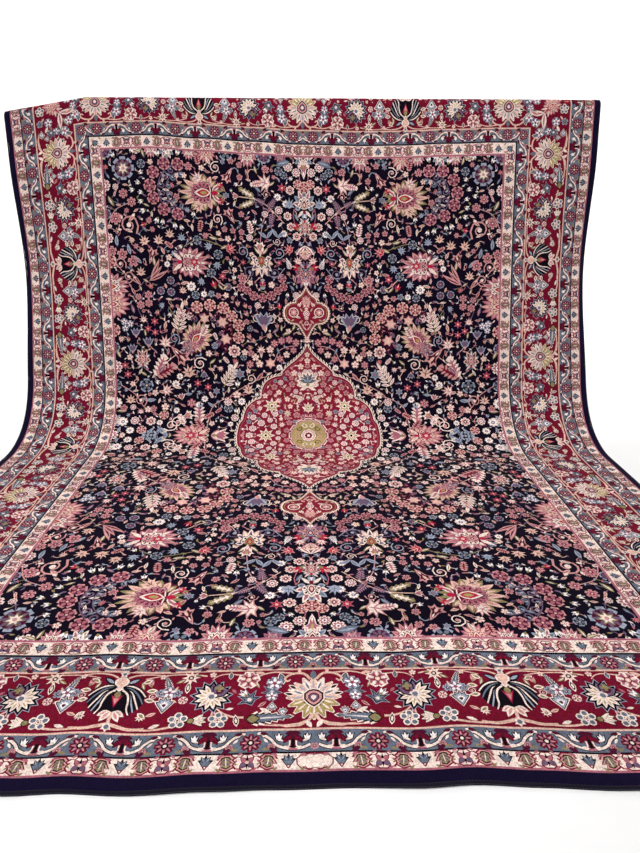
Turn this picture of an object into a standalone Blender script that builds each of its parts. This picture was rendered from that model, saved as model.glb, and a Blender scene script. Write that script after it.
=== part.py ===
"""A large hand-knotted rug as it is shown for sale: laid over a bar at its top, which it hides, hanging down
in front of it and sweeping forward until it lies on the floor.

Metres, +Z up. The pile faces -Y where the rug hangs and +Z where it lies. The origin is on the floor, at the
middle of the rug's box. The rug is one knotted cloth, so it is one solid: an open sheet in its true shape,
given its thickness by Solidify.
"""
import math

import bpy

# Driving dimensions
RUG_WIDTH = 3.04            # selvedge to selvedge
RUG_LENGTH = 3.97           # end to end, along the cloth
THICKNESS = 0.010           # foundation and pile together

BAR_CLEARANCE = 0.050       # width of the channel that the rug makes over the bar
CREST_HEIGHT = 1.690        # top of the fold over the floor
CREST_TO_CENTRE = 1.775     # along the cloth, from the top of the fold to the rug's middle
HANG_LEAN_TOP = 9.0         # degrees off the vertical where the rug leaves the bar
HANG_LEAN_FOOT = 16.0       # degrees off the vertical where the sweep begins
SWEEP_RADIUS = 0.410        # of the curve from hanging to lying

BORDER_WIDTH = 0.47         # the band along each side that bows back where the rug hangs
BOW_DEPTH = 0.075           # how far the side edges stand back
BOW_HEIGHT = 0.83           # height at which they stand back most
BOW_REACH = 0.64            # above and below that height the bow dies away
SKEW = 0.020                # sideways drift for each metre of length, the rug was not laid quite square
CORNER_DROOP = 0.068        # the left top corner hangs over the end of the bar
CORNER_WIDTH = 0.42
CORNER_FADE = 1.20          # length along the cloth in which the droop dies away
EDGE_CURL = 0.020           # the right edge turns back on itself a little
EDGE_CURL_WIDTH = 0.060
RIPPLE_HEIGHT = 0.004       # low ripples that lift the front edge from the floor
RIPPLE_WIDTH = 0.30         # the strip behind the front edge that ripples
RIPPLE_PITCH = 0.56

# How far the front edge reaches forward of square, across the rug from its middle line
FRONT_EDGE = (
    # across, forward
    (-1.52, 0.020),
    (-0.70, 0.026),
    (-0.58, 0.019),
    (-0.43, 0.026),
    (-0.24, 0.017),
    (-0.10, 0.011),
    (0.08, 0.006),
    (0.24, 0.009),
    (0.38, 0.000),
    (0.52, 0.006),
    (0.70, 0.015),
    (1.52, 0.020),
)

# Columns across the rug, closer together at the edges, and rows along each stretch of its run
COLUMNS_ACROSS_MIDDLE = 18
COLUMNS_IN_EACH_BORDER = 6
ROWS_BEHIND = 3
ROWS_OVER_BAR = 10
ROWS_HANGING = 14
ROWS_IN_SWEEP = 10
ROWS_ON_FLOOR = 16


def rug_run():
    """The stretches of the rug's middle surface from its hidden end to its front edge.

    Each is a length along the cloth, the angle it turns through in radians, and its number of rows. A run
    starts upwards behind the bar; turning is positive over the bar and negative in the sweep.
    """
    fold_radius = (BAR_CLEARANCE + THICKNESS) / 2
    fold_turn = math.pi - math.radians(HANG_LEAN_TOP)
    hang_turn = math.radians(HANG_LEAN_TOP - HANG_LEAN_FOOT)
    sweep_turn = math.radians(HANG_LEAN_FOOT) - math.pi / 2
    quarter_fold = fold_radius * math.pi / 2
    behind = RUG_LENGTH / 2 - CREST_TO_CENTRE - quarter_fold
    fold_drop = fold_radius * (1 - math.sin(fold_turn))
    sweep_drop = SWEEP_RADIUS * (1 - math.sin(math.radians(HANG_LEAN_FOOT)))
    hang_drop = CREST_HEIGHT - THICKNESS - fold_drop - sweep_drop
    mean_lean = math.radians((HANG_LEAN_TOP + HANG_LEAN_FOOT) / 2)
    hanging = hang_drop / math.cos(mean_lean)
    over_bar = fold_radius * fold_turn
    sweep = -SWEEP_RADIUS * sweep_turn
    on_floor = RUG_LENGTH - behind - over_bar - hanging - sweep
    return (
        (behind, 0.0, ROWS_BEHIND),
        (over_bar, fold_turn, ROWS_OVER_BAR),
        (hanging, hang_turn, ROWS_HANGING),
        (sweep, sweep_turn, ROWS_IN_SWEEP),
        (on_floor, 0.0, ROWS_ON_FLOOR),
    )


def run_point(along, run):
    """Depth and height of the middle surface at a distance along the cloth from its hidden end.

    A distance before the hidden end or past the front edge goes on straight.
    """
    depth = 0.0
    height = 0.0
    heading = 0.0
    for number, (length, turn, _rows) in enumerate(run):
        last = number == len(run) - 1
        step = along if last or along < length else length
        if turn:
            bend = turn / length
            end = heading + bend * step
            depth += (math.cos(end) - math.cos(heading)) / bend
            height += (math.sin(end) - math.sin(heading)) / bend
            heading = end
        else:
            depth -= math.sin(heading) * step
            height += math.cos(heading) * step
        along -= step
        if along == 0.0:
            break
    return depth, height


def read_table(table, where):
    """Smooth reading of a two-column table, level at each row."""
    if where <= table[0][0]:
        return table[0][1]
    for (start, low), (end, high) in zip(table, table[1:]):
        if where <= end:
            part = (where - start) / (end - start)
            return low + (high - low) * part * part * (3 - 2 * part)
    return table[-1][1]


def fade(value):
    """1 at 0 and below, 0 at 1 and above, smooth between."""
    value = min(max(value, 0.0), 1.0)
    return 1 - value * value * (3 - 2 * value)


def rug_point(across, along, run, floor_height):
    """The middle surface in space, for a place across and along the flat rug."""
    front = RUG_LENGTH - along
    on_floor = run[-1][0]
    reach = read_table(FRONT_EDGE, across) * fade(front / on_floor)
    depth, height = run_point(along + reach, run)
    height += floor_height

    from_edge = RUG_WIDTH / 2 - abs(across)
    outward = min(max(1 - from_edge / BORDER_WIDTH, 0.0), 1.0)
    bow = fade(abs(height - BOW_HEIGHT) / BOW_REACH)
    depth += BOW_DEPTH * bow * outward ** 2
    if across > 0:
        curl = fade(from_edge / EDGE_CURL_WIDTH)
        depth += EDGE_CURL * curl * bow

    past_bar = min(max((CORNER_WIDTH - across - RUG_WIDTH / 2) / CORNER_WIDTH, 0.0), 1.0)
    behind = run[0][0]
    height -= CORNER_DROOP * past_bar * fade((along - behind) / CORNER_FADE)

    ripple = 0.5 - 0.5 * math.cos(2 * math.pi * across / RIPPLE_PITCH)
    height += RIPPLE_HEIGHT * ripple * fade(front / RIPPLE_WIDTH)

    sideways = across + SKEW * (along - RUG_LENGTH / 2)
    return sideways, depth, height


def column_places():
    """Places across the rug, from its left edge to its right."""
    half = RUG_WIDTH / 2
    inner = half - BORDER_WIDTH
    border = []
    for step in range(COLUMNS_IN_EACH_BORDER):
        part = step / COLUMNS_IN_EACH_BORDER
        border.append(BORDER_WIDTH * part ** 1.6)
    left = [-half + offset for offset in border]
    middle = []
    for step in range(COLUMNS_ACROSS_MIDDLE + 1):
        middle.append(-inner + 2 * inner * step / COLUMNS_ACROSS_MIDDLE)
    right = [half - offset for offset in reversed(border)]
    return left + middle + right


def row_places(run):
    """Places along the rug, from its hidden end to its front edge."""
    places = [0.0]
    for length, _turn, rows in run:
        start = places[-1]
        for row in range(1, rows + 1):
            places.append(start + length * row / rows)
    return places


def clear_scene():
    """Remove every object of the scene."""
    for thing in list(bpy.data.objects):
        bpy.data.objects.remove(thing)


def rug_material():
    """Wool pile, in the mean colour of the rug's crimson, navy and cream yarns."""
    material = bpy.data.materials.new("wool_pile")
    material.use_nodes = True
    shader = material.node_tree.nodes["Principled BSDF"]
    shader.inputs["Base Color"].default_value = (0.16, 0.07, 0.09, 1.0)
    shader.inputs["Roughness"].default_value = 0.95
    shader.inputs["Metallic"].default_value = 0.0
    material.diffuse_color = (0.16, 0.07, 0.09, 1.0)
    return material


def build_rug(collection):
    """The rug as one solid."""
    run = rug_run()
    columns = column_places()
    rows = row_places(run)
    floor_depth, floor_height = run_point(RUG_LENGTH, run)
    rise = THICKNESS / 2 - floor_height
    points = []
    for along in rows:
        for across in columns:
            points.append(rug_point(across, along, run, rise))
    sides = [point[0] for point in points]
    depths = [point[1] for point in points]
    middle_x = (min(sides) + max(sides)) / 2
    middle_y = (min(depths) + max(depths) + THICKNESS / 2) / 2
    points = [(x - middle_x, y - middle_y, z) for x, y, z in points]

    width = len(columns)
    faces = []
    for row in range(len(rows) - 1):
        for column in range(width - 1):
            corner = row * width + column
            faces.append((corner, corner + width, corner + width + 1, corner + 1))
    mesh = bpy.data.meshes.new("rug")
    mesh.from_pydata(points, [], faces)
    mesh.materials.append(rug_material())
    mesh.shade_smooth()
    rug = bpy.data.objects.new("rug", mesh)
    collection.objects.link(rug)

    solidify = rug.modifiers.new("thickness", "SOLIDIFY")
    solidify.thickness = THICKNESS
    solidify.offset = 0.0
    solidify.use_even_offset = True
    return rug


def main():
    clear_scene()
    collection = bpy.data.collections.new("persian_rug")
    bpy.context.scene.collection.children.link(collection)
    build_rug(collection)


if __name__ == "__main__":
    main()
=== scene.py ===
"""Looks of a hand-knotted Persian rug, hung over a hidden bar and swept out over the floor.

The pattern is drawn flat, the way a carpet designer draws a cartoon: one quarter of the rug, as closed shapes
that each take one dyed yarn. The quarter is mirrored to the whole and laid on the rug's run.
"""
import functools
import math
import random

import bpy
import numpy as np
from bpy.props import FloatProperty, FloatVectorProperty, PointerProperty
from mathutils import Euler, Matrix, Vector
from mathutils.geometry import delaunay_2d_cdt


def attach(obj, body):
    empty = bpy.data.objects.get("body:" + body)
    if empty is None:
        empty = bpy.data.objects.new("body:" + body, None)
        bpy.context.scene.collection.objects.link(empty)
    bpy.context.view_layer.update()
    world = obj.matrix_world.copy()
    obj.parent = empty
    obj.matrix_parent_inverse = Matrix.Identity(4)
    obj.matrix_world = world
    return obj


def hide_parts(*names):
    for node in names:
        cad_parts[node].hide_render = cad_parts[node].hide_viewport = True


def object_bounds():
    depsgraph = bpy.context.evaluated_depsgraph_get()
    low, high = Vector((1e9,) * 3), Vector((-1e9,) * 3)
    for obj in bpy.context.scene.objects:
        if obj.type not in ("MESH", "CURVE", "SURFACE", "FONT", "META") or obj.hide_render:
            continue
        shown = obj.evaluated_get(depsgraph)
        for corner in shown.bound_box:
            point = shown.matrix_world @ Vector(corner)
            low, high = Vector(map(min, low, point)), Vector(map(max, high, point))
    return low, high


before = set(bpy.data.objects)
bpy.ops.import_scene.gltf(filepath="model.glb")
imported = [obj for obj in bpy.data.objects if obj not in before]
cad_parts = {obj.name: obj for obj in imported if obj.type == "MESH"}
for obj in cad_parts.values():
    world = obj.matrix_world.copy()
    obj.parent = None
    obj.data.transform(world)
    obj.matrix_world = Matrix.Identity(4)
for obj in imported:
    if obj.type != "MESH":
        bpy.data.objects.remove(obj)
CAD_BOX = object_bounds()

bl_info = {
    "name": "Persian rug",
    "version": (1, 0, 0),
    "blender": (4, 5, 0),
    "location": "3D Viewport > Sidebar > Rug",
    "description": "Knots a Persian rug on its run from a bar to the floor",
    "category": "Mesh",
}

# Millimetre, for thicknesses and yarns
MM = 0.001

# Dyed wool yarns, as sRGB hex, and how much the dye varies between batches of yarn (abrash)
DYES = (
    # name, hex, abrash, what it is
    ("navy", "#0c0517", 0.30, "indigo over madder, the field's ground"),
    ("ink", "#0e0711", 0.20, "the darkest indigo, outlines"),
    ("crimson", "#6d0e27", 0.12, "cochineal red, the main border's ground"),
    ("wine", "#4b1129", 0.18, "cochineal with iron, dark outlines and small flowers"),
    ("red", "#ae1c3e", 0.12, "bright cochineal, flower hearts"),
    ("rose", "#a5616f", 0.14, "weak cochineal bath"),
    ("salmon", "#c58c8a", 0.12, "weak madder bath"),
    ("peach", "#d8b0a0", 0.10, "madder with weld"),
    ("cream", "#e6d1c6", 0.08, "undyed wool, the guards' ground"),
    ("ivory", "#ebe2df", 0.05, "washed undyed wool, highlights"),
    ("gold", "#a6925c", 0.14, "weld and pomegranate rind"),
    ("olive", "#877954", 0.16, "weld over weak indigo"),
    ("steel", "#626a79", 0.16, "weak indigo, the blue guards' ground"),
    ("sky", "#959bab", 0.12, "weakest indigo bath"),
    ("plum", "#67526a", 0.16, "weak indigo over weak cochineal"),
    ("indigo", "#120b27", 0.25, "strong indigo, the rug's edge"),
    ("madder", "#7d182f", 0.12, "cochineal over madder, the medallion's ground"),
)
(NAVY, INK, CRIMSON, WINE, RED, ROSE, SALMON, PEACH, CREAM, IVORY, GOLD, OLIVE, STEEL, SKY, PLUM, INDIGO,
 MADDER) = range(len(DYES))
BARE = -1                   # where no yarn is knotted

# The rug's run, as in its solid: sizes in metres, leans in degrees off the vertical
RUG_WIDTH = 3.04
RUG_LENGTH = 3.97
THICKNESS = 0.010
BAR_CLEARANCE = 0.050
CREST_HEIGHT = 1.690
CREST_TO_CENTRE = 1.775
HANG_LEAN_TOP = 9.0
HANG_LEAN_FOOT = 16.0
SWEEP_RADIUS = 0.410
BORDER_WIDTH = 0.47
BOW_DEPTH = 0.075
BOW_HEIGHT = 0.83
BOW_REACH = 0.64
SKEW = 0.020
CORNER_DROOP = 0.068
CORNER_WIDTH = 0.42
CORNER_FADE = 1.20
EDGE_CURL = 0.020
EDGE_CURL_WIDTH = 0.060
RIPPLE_HEIGHT = 0.004
RIPPLE_WIDTH = 0.30
RIPPLE_PITCH = 0.56

# How far the front edge reaches forward of square, across the rug from its middle line
FRONT_EDGE = (
    # across, forward
    (-1.52, 0.02), (-0.7, 0.026), (-0.58, 0.019), (-0.43, 0.026), (-0.24, 0.017), (-0.1, 0.011),
    (0.08, 0.006), (0.24, 0.009), (0.38, 0.0), (0.52, 0.006), (0.7, 0.015), (1.52, 0.02),
)

# How far the weaver's pattern wanders up the rug near its top, across the rug
PATTERN_DRIFT = (
    # across, upwards
    (-1.52, 0.012), (-1.1, 0.017), (-0.79, 0.027), (-0.53, 0.012), (-0.27, -0.002), (-0.02, -0.015),
    (0.315, -0.02), (0.495, -0.017), (0.75, -0.007), (1.01, 0.0), (1.52, 0.004),
)

# Up from the middle, where the pattern wanders most
DRIFT_FULL = 1.60
# How far the side borders' motifs sit towards the front from the field's own axis
SIDE_DRIFT = (0.090, 0.042)     # left, right

# Heights over the rug's middle surface
FOUNDATION_TOP = 3 * MM
FOUNDATION_BOTTOM = -4 * MM
FOUNDATION_INSET = 5 * MM   # it ends inside the edge cords
EDGE_ROLL = 2.5 * MM        # how far the pile rolls down at the rug's edges
EDGE_ROLL_WIDTH = 9 * MM
PILE_WAVE = 0.5 * MM        # low waves of the pile, never sheared quite even

PILE_STRIPS = ("pile_left_border", "pile_left", "pile_middle", "pile_right", "pile_right_border")

# The drawing's lines are cut short enough to bend with the rug, and shorter still where it lies on the bar
LONGEST_LINE = 28 * MM
LONGEST_ON_BAR = 8 * MM
BAR_ZONE = (1.70, 1.85)     # up from the rug's middle

# Bands from the rug's edge inwards
BANDS = (
    # name, dye, width at the sides, width at the ends
    ("edge", INDIGO, 0.032, 0.038),
    ("edge_line", ROSE, 0.006, 0.006),
    ("outer_cream", CREAM, 0.044, 0.044),
    ("outer_dark_line", INK, 0.005, 0.005),
    ("outer_blue", STEEL, 0.062, 0.062),
    ("outer_pale_line", PEACH, 0.006, 0.006),
    ("main", CRIMSON, 0.198, 0.198),
    ("inner_pale_line", PEACH, 0.007, 0.007),
    ("inner_blue", STEEL, 0.058, 0.058),
    ("inner_dark_line", INK, 0.007, 0.007),
    ("inner_cream", CREAM, 0.052, 0.052),
    ("field_line", ROSE, 0.009, 0.009),
    ("field", NAVY, 1.034, 1.493),
)


# ----------------------------------------------------------------------------------------------------
# The rug's run

def read_table(table, where):
    """Smooth reading of a two-column table, level at each row."""
    places = np.array([row[0] for row in table])
    values = np.array([row[1] for row in table])
    row = np.clip(np.searchsorted(places, where) - 1, 0, len(table) - 2)
    part = np.clip((where - places[row]) / (places[row + 1] - places[row]), 0, 1)
    return values[row] + (values[row + 1] - values[row]) * part * part * (3 - 2 * part)


def fade(value):
    """1 at 0 and below, 0 at 1 and above, smooth between."""
    value = np.clip(value, 0, 1)
    return 1 - value * value * (3 - 2 * value)


@functools.lru_cache(maxsize=1)
def rug_run():
    """Stretches from the hidden end: start, length, turn, and the depth, height and heading at its start."""
    fold_radius = (BAR_CLEARANCE + THICKNESS) / 2
    fold_turn = math.pi - math.radians(HANG_LEAN_TOP)
    hang_turn = math.radians(HANG_LEAN_TOP - HANG_LEAN_FOOT)
    sweep_turn = math.radians(HANG_LEAN_FOOT) - math.pi / 2
    behind = RUG_LENGTH / 2 - CREST_TO_CENTRE - fold_radius * math.pi / 2
    fold_drop = fold_radius * (1 - math.sin(fold_turn))
    sweep_drop = SWEEP_RADIUS * (1 - math.sin(math.radians(HANG_LEAN_FOOT)))
    hang_drop = CREST_HEIGHT - THICKNESS - fold_drop - sweep_drop
    hanging = hang_drop / math.cos(math.radians((HANG_LEAN_TOP + HANG_LEAN_FOOT) / 2))
    over_bar = fold_radius * fold_turn
    sweep = -SWEEP_RADIUS * sweep_turn
    on_floor = RUG_LENGTH - behind - over_bar - hanging - sweep
    stretches = []
    start = depth = height = heading = 0.0
    for length, turn in ((behind, 0.0), (over_bar, fold_turn), (hanging, hang_turn), (sweep, sweep_turn),
                         (on_floor, 0.0)):
        stretches.append((start, length, turn, depth, height, heading))
        if turn:
            bend = turn / length
            depth += (math.cos(heading + turn) - math.cos(heading)) / bend
            height += (math.sin(heading + turn) - math.sin(heading)) / bend
        else:
            depth -= math.sin(heading) * length
            height += math.cos(heading) * length
        start += length
        heading += turn
    return np.array(stretches)


def run_point(along):
    """Depth and height of the middle surface at distances along the cloth from its hidden end."""
    run = rug_run()
    stretch = np.clip(np.searchsorted(run[:, 0], along, side="right") - 1, 0, len(run) - 1)
    start, length, turn, depth, height, heading = run[stretch].T
    step = along - start
    curved = turn != 0
    bend = np.where(curved, turn / length, 1.0)
    end = heading + bend * step
    depth = depth + np.where(curved, (np.cos(end) - np.cos(heading)) / bend, -np.sin(heading) * step)
    height = height + np.where(curved, (np.sin(end) - np.sin(heading)) / bend, np.cos(heading) * step)
    return depth, height


def middle_surface(across, along):
    """The rug's middle surface in space, for places across and along the flat rug."""
    run = rug_run()
    front = RUG_LENGTH - along
    reach = read_table(FRONT_EDGE, across) * fade(front / run[-1][1])
    depth, height = run_point(along + reach)
    height = height + THICKNESS / 2 - run_point(np.array([RUG_LENGTH]))[1][0]
    from_edge = RUG_WIDTH / 2 - np.abs(across)
    outward = np.clip(1 - from_edge / BORDER_WIDTH, 0, 1)
    bow = fade(np.abs(height - BOW_HEIGHT) / BOW_REACH)
    depth = depth + BOW_DEPTH * bow * outward ** 2
    depth = depth + np.where(across > 0, EDGE_CURL * fade(from_edge / EDGE_CURL_WIDTH) * bow, 0)
    past_bar = np.clip((CORNER_WIDTH - across - RUG_WIDTH / 2) / CORNER_WIDTH, 0, 1)
    height = height - CORNER_DROOP * past_bar * fade((along - run[0][1]) / CORNER_FADE)
    ripple = 0.5 - 0.5 * np.cos(2 * np.pi * across / RIPPLE_PITCH)
    height = height + RIPPLE_HEIGHT * ripple * fade(front / RIPPLE_WIDTH)
    sideways = across + SKEW * (along - RUG_LENGTH / 2)
    flap = CAD_BOX[1][1] - THICKNESS / 2
    return np.column_stack([sideways, flap + depth, height])


def rug_surface(across, up, lift):
    """Points and normals of the surface that lies lift over the middle one; up is from the rug's centre."""
    along = RUG_LENGTH / 2 - up
    step = 0.5 * MM
    middle = middle_surface(across, along)
    side_way = middle_surface(across + step, along) - middle_surface(across - step, along)
    long_way = middle_surface(across, along + step) - middle_surface(across, along - step)
    normals = np.cross(long_way, side_way)
    normals /= np.linalg.norm(normals, axis=1)[:, None]
    return middle + normals * np.reshape(lift, (-1, 1)), normals


# ----------------------------------------------------------------------------------------------------
# Outlines, drawn about their own origin, head towards +Y; angles are clockwise from there, in radians

def polar(radius, angle):
    return radius * math.sin(angle), radius * math.cos(angle)


def disc(radius, sides, across=0.0, up=0.0):
    points = [polar(radius, 2 * math.pi * (side + 0.5) / sides) for side in range(sides)]
    return [(across + x, up + y) for x, y in points]


def petals(count, radius, valley, blunt=0.27):
    """A flower's outline. Blunt is half a petal's flat end, as a share of its step; 0 makes it pointed."""
    points = []
    step = 2 * math.pi / count
    for petal in range(count):
        middle = petal * step
        points.append(polar(valley, middle - step / 2))
        if blunt:
            points.append(polar(radius, middle - blunt * step))
            points.append(polar(radius, middle + blunt * step))
        else:
            points.append(polar(radius, middle))
    return points


def fan(count, radius, valley, spread, foot=0.2, tall=1.0):
    """A crown of pointed petals from -spread to +spread degrees, closed at its foot."""
    half = math.radians(spread)
    step = 2 * half / count
    points = [(0.0, -foot)]
    for petal in range(count):
        middle = -half + (petal + 0.5) * step
        points.append(polar(valley, middle - step / 2))
        points.append(polar(radius * (1 - 0.16 * abs(middle) / half), middle))
    points.append(polar(valley, half))
    return [(x, y * tall) for x, y in points]


def almond(length, width, foot=0.0, lean=0.0):
    """A leaf from its foot to its tip; lean bends the tip sideways."""
    right = []
    left = []
    for part, share in ((0.22, 0.36), (0.5, 0.5), (0.78, 0.3)):
        bend = lean * part * part
        right.append((bend + share * width, foot + part * length))
        left.append((bend - share * width, foot + part * length))
    return [(0.0, foot)] + right + [(lean, foot + length)] + left[::-1]


def both_sides(outline):
    """An outline given from the axis to the axis on its right side, closed by its mirror image."""
    return outline + [(-x, y) for x, y in reversed(outline) if x > 1e-6]


def petal(length, width, foot):
    """A petal that is widest past its middle."""
    shares = ((0.0, 0.0), (0.3, 0.27), (0.68, 0.5), (0.90, 0.32), (1.0, 0.0))
    return both_sides([(share * width, foot + part * length) for part, share in shares])


def toothed(length, width, teeth, cut=0.5, foot=0.0):
    """A serrated leaf; cut is how far the notches reach, as a share of the teeth."""
    right = []
    for tooth in range(teeth):
        low = (tooth + 0.15) / (teeth + 0.6)
        high = (tooth + 1.0) / (teeth + 0.6)
        full = width / 2 * math.sin(math.pi * (0.15 + 0.75 * high)) ** 0.6
        right += [(full * cut, foot + low * length), (full, foot + high * length)]
    return both_sides([(0.0, foot)] + right + [(0.0, foot + length)])


def ribbon(path, width, end_width=None):
    """A path given a width, which may taper to its end."""
    end_width = width if end_width is None else end_width
    right = []
    left = []
    last = len(path) - 1
    for number, (x, y) in enumerate(path):
        x0, y0 = path[max(number - 1, 0)]
        x1, y1 = path[min(number + 1, last)]
        size = math.hypot(x1 - x0, y1 - y0) or 1.0
        half = (width + (end_width - width) * number / last) / 2
        across = (y1 - y0) / size * half, -(x1 - x0) / size * half
        right.append((x + across[0], y + across[1]))
        left.append((x - across[0], y - across[1]))
    return right + left[::-1]


def smooth_path(points, steps=4):
    """A smooth path through a few points."""
    path = []
    ends = [points[0]] + list(points) + [points[-1]]
    for before, start, end, after in zip(ends, ends[1:], ends[2:], ends[3:]):
        for step in range(steps):
            t = step / steps
            path.append(tuple(0.5 * (2 * b + (c - a) * t + (2 * a - 5 * b + 4 * c - d) * t * t
                                     + (3 * b - a - 3 * c + d) * t ** 3)
                              for a, b, c, d in zip(before, start, end, after)))
    return path + [tuple(points[-1])]


def spiral(radius, turns, steps, start, end_share, across=0.0, up=0.0):
    """A path that winds in from its outer radius to a share of it."""
    path = []
    for step in range(steps + 1):
        part = step / steps
        x, y = polar(radius * (1 - (1 - end_share) * part), start + 2 * math.pi * turns * part)
        path.append((across + x, up + y))
    return path


def shifted(outline, across=0.0, up=0.0, turn=0.0, size=1.0):
    cos, sin = math.cos(turn) * size, math.sin(turn) * size
    return [(across + x * cos + y * sin, up - x * sin + y * cos) for x, y in outline]


# ----------------------------------------------------------------------------------------------------
# Motifs: lists of (dye, outline) in their own unit, a radius for round ones and a length for leaves.
# A motif's first shape is its silhouette, which the rug's back shows too.

def layers(outline, *dyes):
    """An outline in (dye, size) after (dye, size), each inside the last."""
    return [(dye, shifted(outline, size=size)) for dye, size in dyes]


def paired(dye, outline, across=0, up=0, turn=0):
    """An outline on both sides of the axis, turned outwards by so many degrees."""
    right = shifted(outline, across, up, math.radians(turn))
    return [(dye, right), (dye, [(-x, y) for x, y in right])]


def rosette(rim, petal, heart, eye, count):
    """A round flower with a ring round its heart."""
    return [(rim, petals(count, 1.0, 0.70)), (petal, petals(count, 0.78, 0.48, 0.20)), (heart, disc(0.40, 7)),
            (eye, disc(0.20, 5))]


def posy(rim, petal, heart, eye, count=5):
    """A small flower of round petals parted down to its heart."""
    return [(rim, petals(count, 1.0, 0.56, 0.26)), (petal, petals(count, 0.76, 0.34, 0.19)),
            (heart, disc(0.34, 6)), (eye, disc(0.16, 5))]


def star(rim, petal, heart, count, valley):
    return layers(petals(count, 1.0, valley, 0.0), (rim, 1.0), (petal, 0.74)) + [(heart, disc(0.24, 6))]


def blossom(rim, petal, seam, eye, count=5):
    """Round petals with dark seams between them."""
    shapes = [(rim, petals(count, 1.0, 0.70, 0.30)), (seam, disc(0.78, 9))]
    for number in range(count):
        angle = 2 * math.pi * number / count
        shapes.append((petal, shifted(almond(0.74, 0.70 * 3.0 / count, 0.12), turn=angle)))
    return shapes + [(seam, disc(0.26, 6)), (eye, disc(0.16, 5))]


def bud(petal, calyx, tip=None):
    """Three pointed petals on a cup."""
    outline = both_sides([(0, -0.7), (0.42, -0.3), (0.62, 0.55), (0.26, 0.25), (0, 1.0)])
    shapes = [(petal, outline), (calyx, almond(0.75, 0.5, -0.85))]
    return shapes if tip is None else shapes + [(tip, almond(0.8, 0.26, 0.0))]


def trumpet(rim, body, inside, stripe):
    """A long flower that opens to its head."""
    outline = both_sides([(0, 0.7), (0.1, 0.7), (0.36, 0.95), (0.42, 0.55), (0.72, 0.5), (0.3, 0.1),
                          (0.2, -0.5), (0, -1.0)])
    shapes = layers(outline, (rim, 1.0), (body, 0.70))
    return shapes + [(inside, almond(0.7, 0.26)), (stripe, almond(0.5, 0.14, -0.6))]


def leaf(blade, rib, width, lean):
    return [(blade, almond(1.0, width, 0.0, lean)), (rib, almond(0.76, width * 0.32, 0.08, lean * 0.5))]


def leaf_pair(blade, rib):
    (_blade, outside), (_rib, inside) = leaf(blade, rib, 0.34, 0.12)
    return paired(blade, outside, turn=38) + paired(rib, inside, turn=38)


def comb(blade, rib, teeth=5, width=0.56):
    """A serrated leaf, its rib and veins in another yarn."""
    shapes = [(blade, toothed(1.0, width, teeth)), (rib, almond(0.85, 0.12, 0.05))]
    for tooth in range(1, teeth):
        shapes += paired(rib, almond(width * 0.40, 0.07), 0, (tooth - 0.2) / teeth * 0.85, 50)
    return shapes


def feather(stem, blade, eye):
    """A stem with pairs of small leaves that stand apart, and one at its end."""
    shapes = [(stem, ribbon([(0, 0), (0.02, 0.3), (0, 0.7)], 0.045, 0.03))]
    for pair in range(5):
        up = 0.10 + 0.60 * pair / 5
        size = 0.30 - 0.02 * pair
        shapes += paired(blade, almond(size, 0.10), 0, up, 58 - 5 * pair)
        shapes += paired(eye, almond(size * 0.6, 0.10 * 0.3, size * 0.2), 0, up, 58 - 5 * pair)
    return shapes + [(blade, almond(0.34, 0.10, 0.66))]


def curl(dye, tip):
    """A tendril that winds in from its foot, with small leaves on its back."""
    path = [(0.0, -1.0), (-0.55, -0.62)] + spiral(0.78, 1.15, 12, math.radians(-90), 0.3)
    shapes = [(dye, ribbon(path, 0.15, 0.15 * 0.7))]
    for turn in (-60, 10, 80):
        x, y = polar(0.74, math.radians(turn))
        shapes.append((tip, shifted(almond(0.42, 0.20), x, y, math.radians(turn - 35))))
    return shapes + [(tip, disc(0.22, 6))]


def ring_of(count, low, high, width, spread, dyes, drawn_in=0.14, shape=petal):
    """Narrow petals side by side on an arc, from -spread to +spread degrees, shorter towards its ends."""
    shapes = []
    for number in sorted(range(count), key=lambda place: -abs(2 * place - count + 1)):
        part = 2 * number / (count - 1) - 1
        size = (high - low) * (1 - drawn_in * part * part)
        shapes.append((dyes[min(number, count - 1 - number) % len(dyes)],
                       shifted(shape(size, width, low), turn=math.radians(spread * part))))
    return shapes


def palmette(rim, ground, outer, stripe, inner, heart, pip, count=11, spread=128):
    """A lotus palmette: pointed petals, longest at its head, round a crown and an eye, over curled sepals."""
    wide = 2 * math.radians(spread) / count
    few = max(5, count - 4)
    shapes = [(ground, fan(count, 0.98, 0.80, spread + 4, 0.36))]
    shapes += ring_of(count, 0.30, 1.06, wide * 0.82, spread - 4, outer, 0.36, almond)
    shapes += ring_of(count, 0.34, 0.90, wide * 0.42, spread - 4, stripe, 0.36, almond)
    shapes += layers(fan(few, 0.60, 0.46, spread - 10, 0.28), (ground, 1.08), (rim, 1.0), (inner[1], 0.86))
    shapes += ring_of(few, 0.20, 0.56, wide * count / few * 0.46, spread - 20, inner[:1], 0.2)
    shapes += ring_of(few, 0.26, 0.48, wide * count / few * 0.16, spread - 20, (ground,), 0.2)
    shapes += layers(almond(0.70, 0.46, -0.27), (ground, 1.10), (rim, 1.0), (heart, 0.74), (pip, 0.42))
    shapes += paired(rim, almond(0.66, 0.22, 0.0, 0.2), 0.02, -0.34, 112)
    shapes += paired(inner[0], almond(0.48, 0.10, 0.06, 0.16), 0.02, -0.34, 112)
    shapes += paired(outer[0], almond(0.46, 0.17, 0.0, 0.1), 0.02, -0.38, 150)
    shapes.append((heart, disc(0.13, 6, 0.0, -0.42)))
    return [(dye, [(x * 0.90, y * 1.14) for x, y in outline]) for dye, outline in shapes]


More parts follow.
